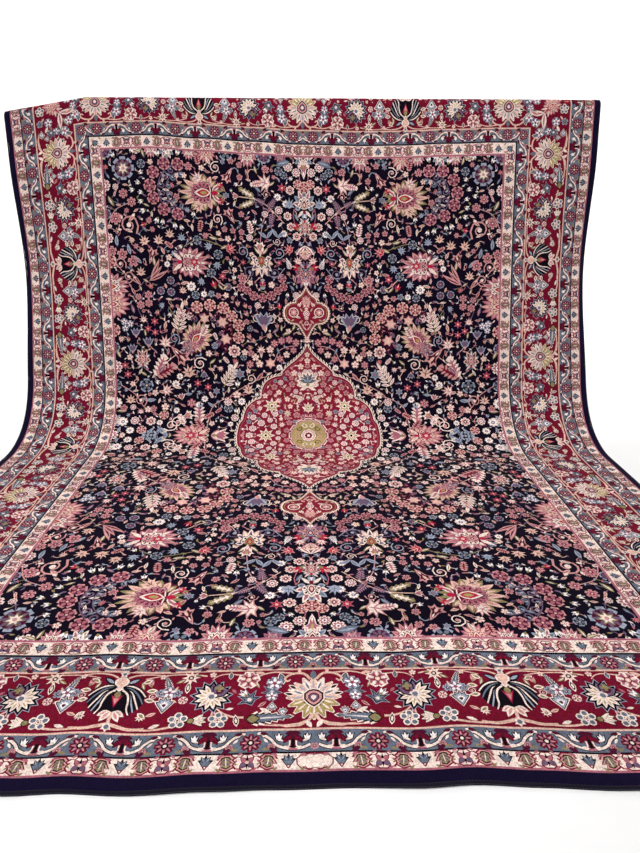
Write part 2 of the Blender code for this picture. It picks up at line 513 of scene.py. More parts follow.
def maple(blade, vein, rim=None):
    """A jagged autumn leaf."""
    outline = fan(7, 1.0, 0.44, 128, 0.45, 1.1)
    shapes = [(blade, outline)] if rim is None else layers(outline, (rim, 1.0), (blade, 0.74))
    return shapes + [(vein, almond(1.0, 0.12, -0.3))] + paired(vein, almond(0.5, 0.1), 0, 0, 58)


def scroll_halo(dye, inner, tip):
    """A crescent of linked tendrils, arched over what lies behind it."""
    spread = 82
    shapes = []
    for scroll_dye, radius, size, number in ((dye, 0.92, 0.19, 8), (inner, 0.62, 0.15, 6)):
        for step in range(number):
            angle = math.radians(-spread + 2 * spread * step / (number - 1))
            side = 1 if step < number / 2 else -1
            path = [(side * x, y) for x, y in spiral(size, 1.0, 8, math.radians(-70), 0.2)]
            x, y = polar(radius, angle)
            shapes.append((scroll_dye, shifted(ribbon(path, 0.066, 0.045), x, y, angle)))
            shapes.append((tip, shifted(almond(0.13, 0.07), x, y, angle)))
        arc = [polar(radius + size * 0.9, math.radians(-spread - 6 + (2 * spread + 12) * step / 14))
               for step in range(15)]
        shapes.append((dye, ribbon(arc, 0.034)))
    return shapes


def sunflower():
    """The big flower of the main border: pale petals round a shield, gold ones towards the rug's edge."""
    shapes = []
    for dye, width, foot, lengths in ((CREAM, 0.20, 0.76, (0.42, 0.40)), (INK, 0.12, 0.80, (0.32, 0.30))):
        for length, turn in zip(lengths, (101, 123)):
            shapes += paired(dye, almond(length, width, foot), 0, 0, turn)
    shapes += layers(petals(16, 1.06, 0.78, 0.10), (CREAM, 1.0), (INK, 0.93))
    for number in range(16):
        angle = 2 * math.pi * number / 16
        wide, narrow = (CREAM, STEEL) if number % 2 else (PEACH, SKY)
        if math.cos(angle) > 0.35:
            wide, narrow = GOLD, CREAM
        shapes.append((wide, shifted(almond(0.68, 0.29, 0.34), turn=angle)))
        shapes.append((narrow, shifted(almond(0.42, 0.09, 0.42), turn=angle)))
    shield = both_sides([(0, 0.52), (0.24, 0.34), (0.42, 0.10), (0.42, -0.22), (0.22, -0.40), (0, -0.46)])
    shapes += layers(shield, (CREAM, 1.0), (INK, 0.88), (SALMON, 0.72), (WINE, 0.50), (PLUM, 0.40),
                     (CREAM, 0.24))
    foot = [(0.10, 0.70), (0.24, 1.02), (0.55, 1.16), (1.05, 1.24), (1.62, 1.20), (1.02, 1.36), (0.50, 1.32),
            (0.16, 1.10), (0.0, 0.86)]
    shapes += paired(PEACH, foot) + paired(CREAM, almond(0.42, 0.20), 0.30, 1.04, -30)
    tendril = [(0.12, -0.92), (0.40, -1.22), (0.85, -1.20), (1.12, -0.98), (1.02, -0.82), (0.90, -0.92)]
    shapes += paired(PEACH, ribbon(smooth_path(tendril, 3), 0.12, 0.07))
    shapes += paired(PEACH, almond(0.3, 0.14), 0.5, -1.22, 160)
    return shapes + layers(shifted(almond(0.5, 0.26, -0.25), 0, -1.14), (STEEL, 0.99))


def lotus():
    """The dark lotus of the main border: a black heart under striped feathers that droop to both sides."""
    branch = smooth_path([(0.0, -1.00), (0.36, -1.10), (0.80, -1.20), (1.30, -1.16)], 3)
    tendril = smooth_path([(0.20, 1.08), (0.50, 1.22), (1.0, 1.28), (1.5, 1.24)], 3)
    heart = both_sides([(0, 0.76), (0.46, 0.78), (0.86, 0.58), (1.02, 0.20), (0.98, -0.16), (0.76, -0.44),
                        (0.34, -0.52), (0, -0.52)])
    shapes = [(INK, heart)]
    shapes += paired(PEACH, ribbon(branch, 0.15, 0.10)) + paired(PEACH, ribbon(tendril, 0.08, 0.05))
    for stripe, points in (
            (CREAM, ((0.10, 0.62), (0.46, 0.68), (0.80, 0.50), (1.04, 0.22))),
            (STEEL, ((0.10, 0.58), (0.48, 0.54), (0.80, 0.24), (1.00, -0.10))),
            (CREAM, ((0.10, 0.54), (0.48, 0.40), (0.70, 0.04), (0.88, -0.34))),
            (SKY, ((0.12, 0.52), (0.42, 0.32), (0.58, -0.06), (0.74, -0.48))),
            (CREAM, ((0.14, 0.48), (0.36, 0.30), (0.46, -0.04), (0.48, -0.34), (0.60, -0.60))),
    ):
        line = smooth_path(points, 3)
        shapes += paired(INK, ribbon(line, 0.22, 0.14)) + paired(stripe, ribbon(line, 0.085, 0.05))
    for x, y, turn in ((0.98, 0.94, 60), (1.22, 0.50, 84), (1.22, 0.06, 100), (1.08, -0.62, 128)):
        shapes += paired(CREAM, almond(0.40, 0.22, -0.2), x, y, turn)
        shapes += paired(OLIVE, almond(0.26, 0.11, -0.13), x, y, turn)
    for dye, outline in ((INK, almond(0.56, 0.28)), (SKY, almond(0.42, 0.14, 0.06))):
        shapes += paired(dye, outline, 0.22, 0.78, 58)
    shapes.append((PEACH, ribbon([(0.0, -0.46), (0.0, -1.10)], 0.12)))
    for turn, length in ((118, 0.50), (148, 0.56)):
        shapes += paired(CREAM, almond(length, 0.26), 0.04, -0.44, turn)
        shapes += paired(SALMON, almond(length * 0.66, 0.12, length * 0.14), 0.04, -0.44, turn)
    egg = both_sides([(0, 0.48), (0.22, 0.40), (0.37, 0.14), (0.36, -0.14), (0.23, -0.40), (0, -0.50)])
    shapes += [(INK, egg)] + layers(fan(3, 0.46, 0.20, 58, 0.36), (WINE, 1.0), (RED, 0.78), (SALMON, 0.46))
    shapes += [(OLIVE, almond(0.34, 0.26, 0.12)), (CREAM, shifted(petals(6, 0.22, 0.13, 0.0), 0, -1.12)),
               (STEEL, disc(0.10, 6, 0, -1.12))]
    hood = both_sides([(0, 1.12), (0.17, 1.07), (0.28, 0.92), (0.24, 0.76), (0.11, 0.66), (0.08, 0.48),
                       (0, 0.42)])
    shapes += [(CREAM, hood), (PEACH, [(x * 0.70, 0.12 + y * 0.86) for x, y in hood])]
    return shapes + [(CREAM, shifted(petals(5, 0.20, 0.10, 0.0), 0, 1.26)), (STEEL, disc(0.08, 5, 0, 1.26))]


def half_palmette():
    """A serrated palmette, cream lobes to one side and a plum hood on the other."""
    shapes = layers(petals(13, 1.10, 0.80, 0.0), (SKY, 1.0), (INK, 0.93))
    for number in range(13):
        angle = 2 * math.pi * number / 13
        hooded = number in (0, 1, 2)
        shapes.append((PLUM if hooded else CREAM, shifted(almond(0.70, 0.26, 0.14), turn=angle)))
        if not hooded:
            shapes.append((GOLD, shifted(almond(0.36, 0.07, 0.28), turn=angle)))
    hood = [(0.05, -0.12), (0.60, 0.02), (0.86, 0.40), (0.52, 0.62), (0.30, 0.88), (0.02, 0.62)]
    for dye, size in ((INK, 1.08), (PLUM, 0.90), (WINE, 0.50)):
        shapes.append((dye, shifted(hood, 0.35 * (1 - size), 0.35 * (1 - size), 0, size)))
    shapes += [(CREAM, petals(5, 0.28, 0.18, 0.2)), (STEEL, disc(0.16, 6))]
    return shapes + [(OLIVE, shifted(petals(4, 0.24, 0.12, 0.2), 0.34, 0.52))]


def fleck(dye, width):
    return [(dye, almond(1.0, width))]


def tulip(petal, rim, foot):
    outline = both_sides([(0, -0.8), (0.5, -0.35), (0.9, 0.5), (0.45, 0.3), (0.3, 0.75), (0, 0.35)])
    return layers(outline, (rim, 1.0), (petal, 0.74)) + [(foot, almond(0.6, 0.4, -0.95))]


def rose_head():
    """An open rose of the main border, its petals edged in cream."""
    shapes = layers(petals(5, 1.0, 0.78, 0.30), (CREAM, 1.0), (ROSE, 0.84))
    for dye, outline, first in ((CREAM, petal(0.80, 0.30, 0.06), 0), (CRIMSON, almond(0.70, 0.12, 0.10), 36)):
        shapes += [(dye, shifted(outline, turn=math.radians(turn))) for turn in range(first, first + 360, 72)]
    return shapes + layers(disc(0.34, 8), (CRIMSON, 1.0), (PEACH, 0.7), (CREAM, 0.35))


def quince():
    """Five round blue petals, each with a pale rim, dark between them."""
    shapes = [(INK, disc(0.92, 10))]
    for turn in range(0, 360, 72):
        x, y = polar(0.62, math.radians(turn))
        for dye, size in ((CREAM, 0.42), (STEEL, 0.27)):
            shapes.append((dye, disc(size, 7, x, y)))
    return shapes + layers(disc(0.24, 6), (CREAM, 1.0), (CRIMSON, 0.5))


def border_leaf():
    """A long serrated leaf that narrows to its tip, dark round its rib, with an olive foot."""
    shapes = [(CREAM, toothed(1.0, 0.44, 6, 0.60)), (INK, toothed(0.93, 0.34, 6, 0.60, 0.03)),
              (STEEL, toothed(0.88, 0.24, 6, 0.66, 0.05)), (SKY, almond(0.84, 0.07, 0.06)),
              (CREAM, almond(0.60, 0.03, 0.10))]
    shapes = [(dye, [(x * (1.35 - 1.05 * y), y) for x, y in outline]) for dye, outline in shapes]
    return shapes + [(INK, almond(0.34, 0.30, -0.12)), (OLIVE, almond(0.28, 0.22, -0.09))]


def finger_tulip():
    """A cream flower of four fingers on an olive cup."""
    shapes = layers(fan(4, 1.0, 0.62, 62, 0.70), (INK, 1.08), (CREAM, 0.96))
    shapes += ring_of(4, 0.10, 0.86, 0.06, 40, (OLIVE,))
    return shapes + [(INK, disc(0.34, 7, 0, -0.42)), (OLIVE, disc(0.26, 7, 0, -0.42))]


def mushroom():
    """The small dark palmette of the blue guards, with its pale legs."""
    cap = [(0, 1.05), (0.26, 0.66), (0.66, 0.52), (0.98, 0.10), (0.84, -0.30), (0.52, -0.12), (0.34, 0.06),
           (0.30, -0.72), (0, -0.80)]
    shapes = layers(both_sides(cap), (INK, 1.14), (CRIMSON, 1.0)) + [(WINE, disc(0.24, 6, 0.0, 0.40))]
    shapes += paired(WINE, disc(0.16, 5), 0.58, 0.12, 0)
    shapes += paired(CREAM, ribbon([(0.32, 0.0), (0.34, -0.55), (0.80, -1.02)], 0.18, 0.12))
    return shapes + [(INK, ribbon([(0, 0.20), (0, -0.95)], 0.34))]


def guard_curls():
    """What fills a blue guard beside a rosette: a dark curl, an outlined white bud and a hooked leaf."""
    shapes = [(WINE, ribbon(spiral(0.50, 0.9, 8, math.radians(180), 0.35, 0.0, 0.10), 0.20, 0.10))]
    shapes += layers(bud(IVORY, OLIVE)[0][1], (INK, 0.82), (IVORY, 0.60))
    return shapes + [(CREAM, shifted(almond(0.8, 0.28, 0, 0.2), -0.5, -0.45, math.radians(60)))]


def guard_tulip():
    """The dark five-pointed tulip of the cream guards."""
    shapes = layers(fan(5, 1.12, 0.70, 80, 0.85), (INK, 1.0), (STEEL, 0.80))
    shapes += ring_of(5, 0.20, 0.90, 0.14, 62, (INK, SKY, INK))
    return shapes + [(CRIMSON, disc(0.26, 6, 0, -0.50)), (CREAM, disc(0.12, 5, 0, -0.50))]


def guard_leaf():
    """The serrated leaf that stands across the cream guards."""
    shapes = layers(toothed(2.3, 2.3, 3, 0.62, -1.15), (CRIMSON, 1.0), (SALMON, 0.84))
    shapes += layers(toothed(1.8, 1.5, 3, 0.66, -0.90), (INK, 0.92), (OLIVE, 0.74))
    for up in (-0.5, 0.0):
        shapes += paired(PLUM, almond(0.60, 0.20), 0, up, 52)
    return shapes + [(CREAM, almond(1.4, 0.14, -0.7))]


def guard_cloud():
    """A cream cloud with a plum flower, edged in red."""
    cloud = both_sides([(0, 1.06), (0.45, 1.08), (0.75, 0.80), (1.25, 0.84), (1.62, 0.40), (1.48, 0.0),
                        (1.66, -0.42), (1.20, -0.78), (0.75, -0.72), (0.45, -1.08), (0, -1.0)])
    shapes = layers(cloud, (CRIMSON, 1.0), (CREAM, 0.86))
    for dye, length, width, across, up, turn in (
            (ROSE, 0.55, 0.30, 1.05, -0.30, 50), (OLIVE, 0.45, 0.22, 1.05, 0.30, 120),
            (CRIMSON, 1.10, 0.74, 0, -0.02, 48), (PLUM, 1.02, 0.58, 0, -0.02, 48),
            (CRIMSON, 1.02, 0.66, 0, 0.06, 132), (ROSE, 0.92, 0.50, 0, 0.06, 132)):
        shapes += paired(dye, almond(length, width), across, up, turn)
    return shapes + [(INK, almond(1.8, 0.32, -0.92)), (PEACH, disc(0.22, 6))]


# Motifs that differ from their like only in their yarns and proportions: how each is drawn, and with what
LIKE_MOTIFS = (
    (blossom, {
        "pink_blossom": (SALMON, ROSE, WINE, PEACH),
        "salmon_blossom": (PEACH, SALMON, CRIMSON, CREAM, 6), "plum_flower": (SKY, PLUM, WINE, SALMON, 8),
        "sky_flower": (SKY, STEEL, INK, PEACH), "white_flower": (SKY, IVORY, PLUM, RED)}),
    (star, {
        "peach_blossom": (SALMON, PEACH, PEACH, 6, 0.6), "cream_star": (OLIVE, CREAM, SALMON, 7, 0.52),
        "red_star": (ROSE, RED, PEACH, 6, 0.45), "blue_star": (SKY, STEEL, ROSE, 6, 0.55)}),
    (rosette, {
        "daisy": (CREAM, IVORY, PLUM, CREAM, 8), "rose_daisy": (CREAM, ROSE, IVORY, CRIMSON, 8),
        "pale_berry": (IVORY, SALMON, CREAM, CRIMSON, 7), "pale_pink": (CREAM, SALMON, WINE, CREAM, 6)}),
    (posy, {
        "small_pink": (SALMON, ROSE, WINE, PEACH), "small_cream": (PEACH, CREAM, ROSE, IVORY),
        "small_blue": (SKY, STEEL, INK, PEACH), "berry": (ROSE, SALMON, WINE, PEACH, 6),
        "rose": (SALMON, ROSE, CRIMSON, CREAM, 6), "posy": (SALMON, ROSE, WINE, CREAM)}),
    (bud, {
        "white_bud": (IVORY, OLIVE, PLUM), "pink_bud": (SALMON, OLIVE, CRIMSON),
        "red_bud": (RED, OLIVE, PEACH), "blue_bud": (SKY, PLUM, INK)}),
    (comb, {
        "pink_comb": (SALMON, CRIMSON), "olive_comb": (OLIVE, CREAM, 4, 0.44),
        "cream_comb": (CREAM, ROSE), "blue_comb": (SKY, INK, 4)}),
    (leaf, {
        "lily_leaf": (SALMON, WINE, 0.20, 0.14), "olive_leaf": (OLIVE, CREAM, 0.36, 0.15),
        "peach_leaf": (PEACH, ROSE, 0.40, 0.1), "pink_leaf": (SALMON, WINE, 0.36, 0.1),
        "sky_leaf": (SKY, STEEL, 0.36, -0.12), "cream_leaf": (CREAM, OLIVE, 0.34, 0.1),
        "steel_leaf": (STEEL, SKY, 0.38, 0.15), "plum_leaf": (PLUM, SALMON, 0.38, 0.1)}),
    (leaf_pair, {
        "olive_pair": (OLIVE, CREAM), "pink_pair": (ROSE, CREAM), "sky_pair": (SKY, STEEL),
        "cream_pair": (CREAM, ROSE)}),
    (feather, {
        "plum_feather": (SALMON, PLUM, SALMON), "cream_feather": (OLIVE, CREAM, ROSE),
        "white_feather": (ROSE, IVORY, PLUM)}),
    (curl, {
        "curl_cream": (CREAM, SALMON), "curl_plum": (PLUM, SKY), "curl_sky": (SKY, ROSE),
        "curl_pink": (SALMON, CREAM)}),
    (maple, {
        "maple_cream": (CREAM, ROSE, SALMON), "maple_peach": (PEACH, WINE),
        "maple_red": (RED, PEACH, SALMON), "maple_sky": (SKY, STEEL)}),
    (trumpet, {"trumpet_peach": (SALMON, WINE, PEACH, CREAM), "trumpet_cream": (CREAM, ROSE, GOLD, IVORY)}),
    (tulip, {"tulip_pink": (ROSE, CREAM, OLIVE), "tulip_plum": (PLUM, SKY, SALMON)}),
    (palmette, {
        "palmette_sun": (CREAM, WINE, (OLIVE, PEACH), (PEACH, SALMON), (ROSE, CRIMSON), RED, GOLD, 15, 132),
        "palmette_red": (CREAM, WINE, (ROSE, SALMON), (CREAM, ROSE), (CREAM, CRIMSON), RED, GOLD, 13),
        "palmette_fan": (OLIVE, INK, (CREAM, PEACH), (PLUM, CREAM), (CREAM, ROSE), RED, GOLD, 9, 104),
        "palmette_plum": (SKY, WINE, (PLUM, ROSE), (SALMON, PLUM), (SALMON, WINE), CRIMSON, PEACH),
        "palmette_blue": (CREAM, INK, (SKY, CREAM), (STEEL, ROSE), (CREAM, PLUM), CRIMSON, PEACH, 9, 112),
        "palmette_dark": (CREAM, INK, (STEEL, PEACH), (CREAM, WINE), (SALMON, WINE), RED, PEACH, 9),
        "palmette_orange": (CREAM, CRIMSON, (SALMON, ROSE), (PEACH, SALMON), (PEACH, RED), RED, PEACH, 13)}),
    (scroll_halo, {"halo_blue": (PLUM, STEEL, SKY), "halo_wine": (WINE, PLUM, ROSE)}),
    (fleck, {
        "fleck_pink": (SALMON, 0.42), "fleck_peach": (PEACH, 0.36), "fleck_rose": (ROSE, 0.44),
        "fleck_cream": (CREAM, 0.38), "fleck_sky": (SKY, 0.40), "fleck_olive": (OLIVE, 0.38),
        "fleck_plum": (PLUM, 0.42), "fleck_wine": (WINE, 0.5)}),
)

MOTIFS = {name: maker(*values) for maker, rows in LIKE_MOTIFS for name, values in rows.items()}
MOTIFS.update({
    "gold_lily": layers(petals(8, 1.0, 0.50, 0.0), (CREAM, 1.0), (GOLD, 0.70), (CREAM, 0.40))
    + [(INK, disc(0.14, 5))],
    "ringed": layers(disc(1.0, 12), (CREAM, 1.0), (CRIMSON, 0.82))
    + [(SALMON, petals(6, 0.66, 0.42)), (CREAM, disc(0.2, 6))],
    "sunflower": sunflower(),
    "lotus": lotus(),
    "half_palmette": half_palmette(),
    "rose_head": rose_head(),
    "quince": quince(),
    "border_leaf": border_leaf(),
    "finger_tulip": finger_tulip(),
    "winged": layers(fan(5, 1.0, 0.40, 118, 0.55), (SKY, 1.0), (INK, 0.86), (STEEL, 0.62))
    + [(CREAM, disc(0.16, 6))],
    "bell": layers(fan(5, 1.0, 0.66, 75, 0.70), (CREAM, 1.0), (INK, 0.86), (SKY, 0.72), (IVORY, 0.42),
                   (WINE, 0.22)),
    "slot_bud": layers(almond(2.0, 0.80, -1.0), (CREAM, 1.0), (INK, 0.74), (CREAM, 0.44)),
    "crown_flower": paired(CREAM, almond(0.62, 0.24), 0.05, -0.34, 112)
    + layers(fan(9, 1.0, 0.68, 118, 0.40), (CREAM, 1.0), (OLIVE, 0.76), (CREAM, 0.70))
    + ring_of(7, -0.06, 0.80, 0.20, 72, (INK,), shape=almond)
    + ring_of(7, 0.02, 0.72, 0.11, 72, (STEEL, SKY), shape=almond)
    + layers(disc(0.2, 7, 0, -0.2), (CREAM, 1.0), (OLIVE, 0.7)),
    "blue_sprig": [(CREAM, almond(1.0, 0.52)), (INK, almond(0.84, 0.38, 0.08)),
                   (STEEL, almond(0.72, 0.26, 0.14))],
    "border_star": layers(petals(8, 1.0, 0.46, 0.0), (CREAM, 1.0), (PEACH, 0.62))
    + layers(disc(0.30, 7), (INK, 1.0), (CREAM, 0.5)),
    "guard_rosette": blossom(CRIMSON, ROSE, WINE, IVORY, 8)
    + [(SALMON, shifted(almond(0.42, 0.13, 0.42), turn=math.radians(turn))) for turn in range(0, 360, 45)]
    + layers(disc(0.36, 8), (INK, 1.0), (CREAM, 0.5)),
    "guard_curls": guard_curls(),
    "guard_tulip": guard_tulip(),
    "guard_leaf": guard_leaf(),
    "guard_cloud": guard_cloud(),
    "mushroom": mushroom(),
})


# ----------------------------------------------------------------------------------------------------
# The cartoon

def on_bar(y0, y1):
    """Whether a line between two heights on the cartoon passes over the bar."""
    return max(y0, y1) > BAR_ZONE[0] and min(y0, y1) < BAR_ZONE[1]


def extent(outline):
    """The middle, width and height of an outline."""
    xs, ys = zip(*outline)
    return (min(xs) + max(xs)) / 2, (min(ys) + max(ys)) / 2, max(xs) - min(xs), max(ys) - min(ys)


def laid(outline, base):
    """Points along and out from a base, which is (origin, right, up) of a band's own directions."""
    origin, right, up = base
    return [(origin[0] + x * right[0] + y * up[0], origin[1] + x * right[1] + y * up[1]) for x, y in outline]


def grid(width, length, step_across, step_up, start=0.0):
    """Points all over a sheet, for it to bend at."""
    return [(x, y) for x in np.arange(0.0, width, step_across) for y in np.arange(start, length, step_up)]


# The base of what isn't in a band: the rug's own directions from its middle
RUG_BASE = (0.0, 0.0), (1.0, 0.0), (0.0, 1.0)


class Cartoon:
    """A flat drawing: closed shapes in metres, the later ones on top; rank 0 shows on the rug's back too."""

    def __init__(self):
        self.shapes = []
        self.taken = []

    def add(self, dye, outline, rank=0):
        points = []
        for (x0, y0), (x1, y1) in zip(outline, outline[1:] + outline[:1]):
            steps = max(1, math.ceil(math.hypot(x1 - x0, y1 - y0) / LONGEST_LINE))
            if on_bar(y0, y1):
                steps = max(steps, math.ceil(abs(y1 - y0) / LONGEST_ON_BAR))
            for step in range(steps):
                part = step / steps
                points.append((x0 + (x1 - x0) * part, y0 + (y1 - y0) * part))
        area = 0.0
        for (x0, y0), (x1, y1) in zip(points, points[1:] + points[:1]):
            area += x0 * y1 - x1 * y0
        if abs(area) >= 1e-9:
            self.shapes.append((dye, points if area > 0 else points[::-1], rank))

    def draw(self, motif, x, y, size, turn=0.0, base=RUG_BASE, keep=True):
        """Place a motif; turn is in degrees from its base's up towards its base's right."""
        for number, (dye, outline) in enumerate(MOTIFS[motif]):
            placed = laid(shifted(outline, x, y, math.radians(turn), size), base)
            self.add(dye, placed, min(number, 1))
            if number == 0 and keep:
                middle_x, middle_y, width, height = extent(placed)
                self.taken.append((middle_x, middle_y, (width + height) / 4))

    def draw_rows(self, table):
        """Draw a table of motifs with their places."""
        for name, x, y, size, turn in placed_rows(table):
            self.draw(name, x, y, size, turn)

    def cut(self, size, extra_points):
        """Cut the drawing, up to size from its corner, into triangles that each lie in one dye."""
        points = []
        faces = []
        for _dye, outline, _rank in self.shapes:
            faces.append(list(range(len(points), len(points) + len(outline))))
            points += outline
        flat, _edges, triangles, _ov, _oe, sources = delaunay_2d_cdt(points, [], faces, 0, 1e-7)
        flat = np.array([tuple(point) for point in flat])
        triangles = np.array(triangles)
        shape_dyes = np.array([shape[0] for shape in self.shapes] + [BARE])
        dyes = shape_dyes[[max(source, default=-1) for source in sources]]
        middles = flat[triangles].mean(axis=1)
        dyes[(middles < 0).any(axis=1) | (middles > size).any(axis=1)] = BARE
        return joined_by_dye(flat, triangles, dyes, extra_points)


def directed_edges(triangles, count):
    """Each triangle's edges: start and end points, one number for both, and that of the edge backwards."""
    start, end = triangles.ravel(), np.roll(triangles, -1, axis=1).ravel()
    return start, end, start * count + end, end * count + start


def matches(keys, wanted):
    """For each wanted number its place in keys, and whether it is there at all."""
    order = np.argsort(keys)
    place = order[np.minimum(np.searchsorted(keys[order], wanted), len(keys) - 1)]
    return place, keys[place] == wanted


def straightened(points, lines, left, right):
    """The lines, with their dyes to left and right, less the points that a straight line all but passes."""
    slack = 0.35 * MM           # how far a point may stand off the straight line
    ends = lines.tolist()
    sides = list(zip(left.tolist(), right.tolist()))
    meets = {}
    for number, line in enumerate(ends):
        for point in line:
            meets.setdefault(point, []).append(number)
    for point, numbers in meets.items():
        if len(numbers) != 2:
            continue
        first, second = numbers
        before, after = ends[first], ends[second]
        if before[0] == point:
            before, sides_before = before[::-1], sides[first][::-1]
        else:
            sides_before = sides[first]
        a, b = before[0], after[1] if after[0] == point else after[0]
        (x0, y0), (x, y), (x1, y1) = points[a], points[point], points[b]
        size = math.hypot(x1 - x0, y1 - y0)
        if a == b or size > (LONGEST_ON_BAR if on_bar(y0, y1) else LONGEST_LINE) or size < 1e-9:
            continue
        if abs((x1 - x0) * (y - y0) - (y1 - y0) * (x - x0)) > slack * size:
            continue
        if any(b in ends[number] for number in meets[a] if number != first):
            continue
        ends[first] = [a, b]
        sides[first] = sides_before
        ends[second] = None
        meets[b][meets[b].index(second)] = first
        numbers.clear()
    kept = [number for number, line in enumerate(ends) if line]
    left, right = np.array([sides[number] for number in kept]).T
    return np.array([ends[number] for number in kept]), left, right


def joined_by_dye(flat, triangles, dyes, extra_points):
    """The same drawing in fewer triangles, from the lines between two dyes and the points for the bends."""
    start, end, key, back = directed_edges(triangles, len(flat))
    left = np.repeat(dyes, 3)
    other, paired = matches(key, back)
    right = np.where(paired, left[other], BARE)
    keep = (left != right) & (~paired | (start < end))
    lines, left, right = straightened(flat.tolist(), np.column_stack([start[keep], end[keep]]), left[keep],
                                      right[keep])
    used, lines = np.unique(lines, return_inverse=True)
    lines = lines.reshape(-1, 2)
    points = [tuple(point) for point in flat[used]] + list(extra_points)
    cut, edges, triangles, _ov, sources, _of = delaunay_2d_cdt(points, lines.tolist(), [], 0, 1e-7)
    cut = np.array([tuple(point) for point in cut])
    triangles = np.array(triangles)
    edges = np.array(edges)
    source = np.array([item[0] if item else -1 for item in sources])
    edges, source = edges[source >= 0], source[source >= 0]
    way = cut[edges[:, 1]] - cut[edges[:, 0]]
    line_way = flat[used[lines[source, 1]]] - flat[used[lines[source, 0]]]
    same = (way * line_way).sum(axis=1) > 0
    line_keys = np.concatenate([edges[:, 0] * len(cut) + edges[:, 1], edges[:, 1] * len(cut) + edges[:, 0]])
    line_dyes = np.concatenate([np.where(same, left[source], right[source]),
                                np.where(same, right[source], left[source])])
    _start, _end, key, back = directed_edges(triangles, len(cut))
    place, on_line = matches(line_keys, key)
    owner = np.arange(len(key)) // 3
    unknown = BARE - 1
    dyes = np.full(len(triangles), unknown)
    dyes[owner[on_line]] = line_dyes[place[on_line]]
    other, paired = matches(key, back)
    open_edge = ~on_line & paired
    here, there = owner[open_edge], owner[other[open_edge]]
    while True:
        spreads = (dyes[here] == unknown) & (dyes[there] != unknown)
        if not spreads.any():
            break
        dyes[here[spreads]] = dyes[there[spreads]]
    shown = dyes >= 0
    return cut, triangles[shown], dyes[shown]


# Up from the middle, how far the field's flowers are paler, and which take whose place: painted light, paler
# yarns where the rug sweeps down to the floor
PAINTED_LIGHT_UP_TO = 0.50
PAINTED_LIGHT_SWAPS = {"salmon_blossom": "pale_pink", "pink_blossom": "pale_pink", "rose_daisy": "daisy",
         "berry": "small_cream", "small_pink": "small_cream", "rose": "small_cream", "red_bud": "blue_bud",
         "pink_bud": "white_bud", "maple_red": "maple_sky", "maple_peach": "maple_cream",
         "pink_comb": "cream_comb", "pink_leaf": "cream_leaf", "peach_leaf": "cream_leaf",
         "fleck_rose": "fleck_sky", "fleck_pink": "fleck_cream"}


# Of the scattered flowers there, the share that takes the paler yarns of the painted light
PAINTED_LIGHT_SHARE = 0.6
# Of the small flowers: the size of those that no table names, and the grid in which neighbours are looked up
OTHER_SIZE = 0.019
CELL = 0.05
# A stem goes to the nearest neighbour that is further off than this
STEM_LEAST = 0.012
STEM_DYES = (SALMON, PLUM, OLIVE, SKY, ROSE, STEEL, PEACH)


def scatter(cartoon, rng, inside, kinds, box, gap, tries, paler=False):
    """Fill what is still bare with small motifs, each tied to a neighbour by a stem."""
    names = [kind[0] for kind in kinds]
    weights = [kind[1] for kind in kinds]
    sizes = {kind[0]: kind[2] / 1000 for kind in kinds}
    near_by = {}

    def note(x, y, radius):
        reach = int(radius / CELL) + 1
        column, row = int(x / CELL), int(y / CELL)
        for i in range(column - reach, column + reach + 1):
            for j in range(row - reach, row + reach + 1):
                near_by.setdefault((i, j), []).append((x, y, radius))

    def neighbours(x, y):
        return near_by.get((int(x / CELL), int(y / CELL)), ())

    for x, y, radius in cartoon.taken:
        note(x, y, radius)
    placed = []
    for _try in range(tries):
        x = rng.uniform(0, box[0])
        y = rng.uniform(0, box[1])
        name = rng.choices(names, weights)[0]
        # Painted light: near the middle some flowers take paler yarns
        if paler and y < PAINTED_LIGHT_UP_TO:
            name = PAINTED_LIGHT_SWAPS.get(name, name) if rng.random() < PAINTED_LIGHT_SHARE else name
        size = sizes.get(name, OTHER_SIZE) * rng.uniform(0.85, 1.15)
        long_one = name.startswith("fleck") or name.endswith(("leaf", "pair", "comb", "feather"))
        radius = size * (0.42 if long_one else 0.9)
        if not inside(x, y) or (x < radius and x > 0.004) or (y < radius and y > 0.004):
            continue
        if any(math.hypot(x - ox, y - oy) < radius + other * 0.92 + gap
               for ox, oy, other in neighbours(x, y)):
            continue
        note(x, y, radius)
        placed.append((name, x, y, size, rng.uniform(0, 360), long_one))
    stems = []
    for _name, x, y, _size, _turn, _long_one in placed:
        near = sorted((math.hypot(x - ox, y - oy), ox, oy) for ox, oy, _radius in neighbours(x, y))
        for _distance, ox, oy in [item for item in near if item[0] > STEM_LEAST][:1]:
            bend = rng.uniform(-0.35, 0.35)
            middle = (x + ox) / 2 - (oy - y) * bend, (y + oy) / 2 + (ox - x) * bend
            stems.append((rng.choice(STEM_DYES), [(x, y), middle, (ox, oy)]))
    return stems, placed


def plant(cartoon, stems, placed):
    for dye, path in stems:
        cartoon.add(dye, ribbon(smooth_path(path, 3), 0.0036, 0.0026))
    for name, x, y, size, turn, long_one in placed:
        if long_one:
            angle = math.radians(turn)
            x -= math.sin(angle) * size / 2
            y -= math.cos(angle) * size / 2
        cartoon.draw(name, x, y, size, turn, keep=False)


FINIAL_MIDDLE = 0.69        # up from the rug's middle
GOLD_DISC = 0.110           # the room of the disc at the medallion's heart
# Half outlines, from the tip at the top to the foot or widest place, in mm from the medallion's centre
MEDALLION = ((0, 532), (21, 492), (57, 455), (104, 416), (136, 384), (144, 362), (182, 354), (230, 326),
             (253, 282), (259, 236), (290, 222), (332, 186), (351, 140), (357, 106), (376, 72), (384, 0))
FINIAL = ((0, 835), (20, 800), (54, 772), (58, 752), (84, 748), (112, 728), (123, 700), (116, 664), (90, 640),
          (52, 634), (30, 608), (12, 575), (0, 552))

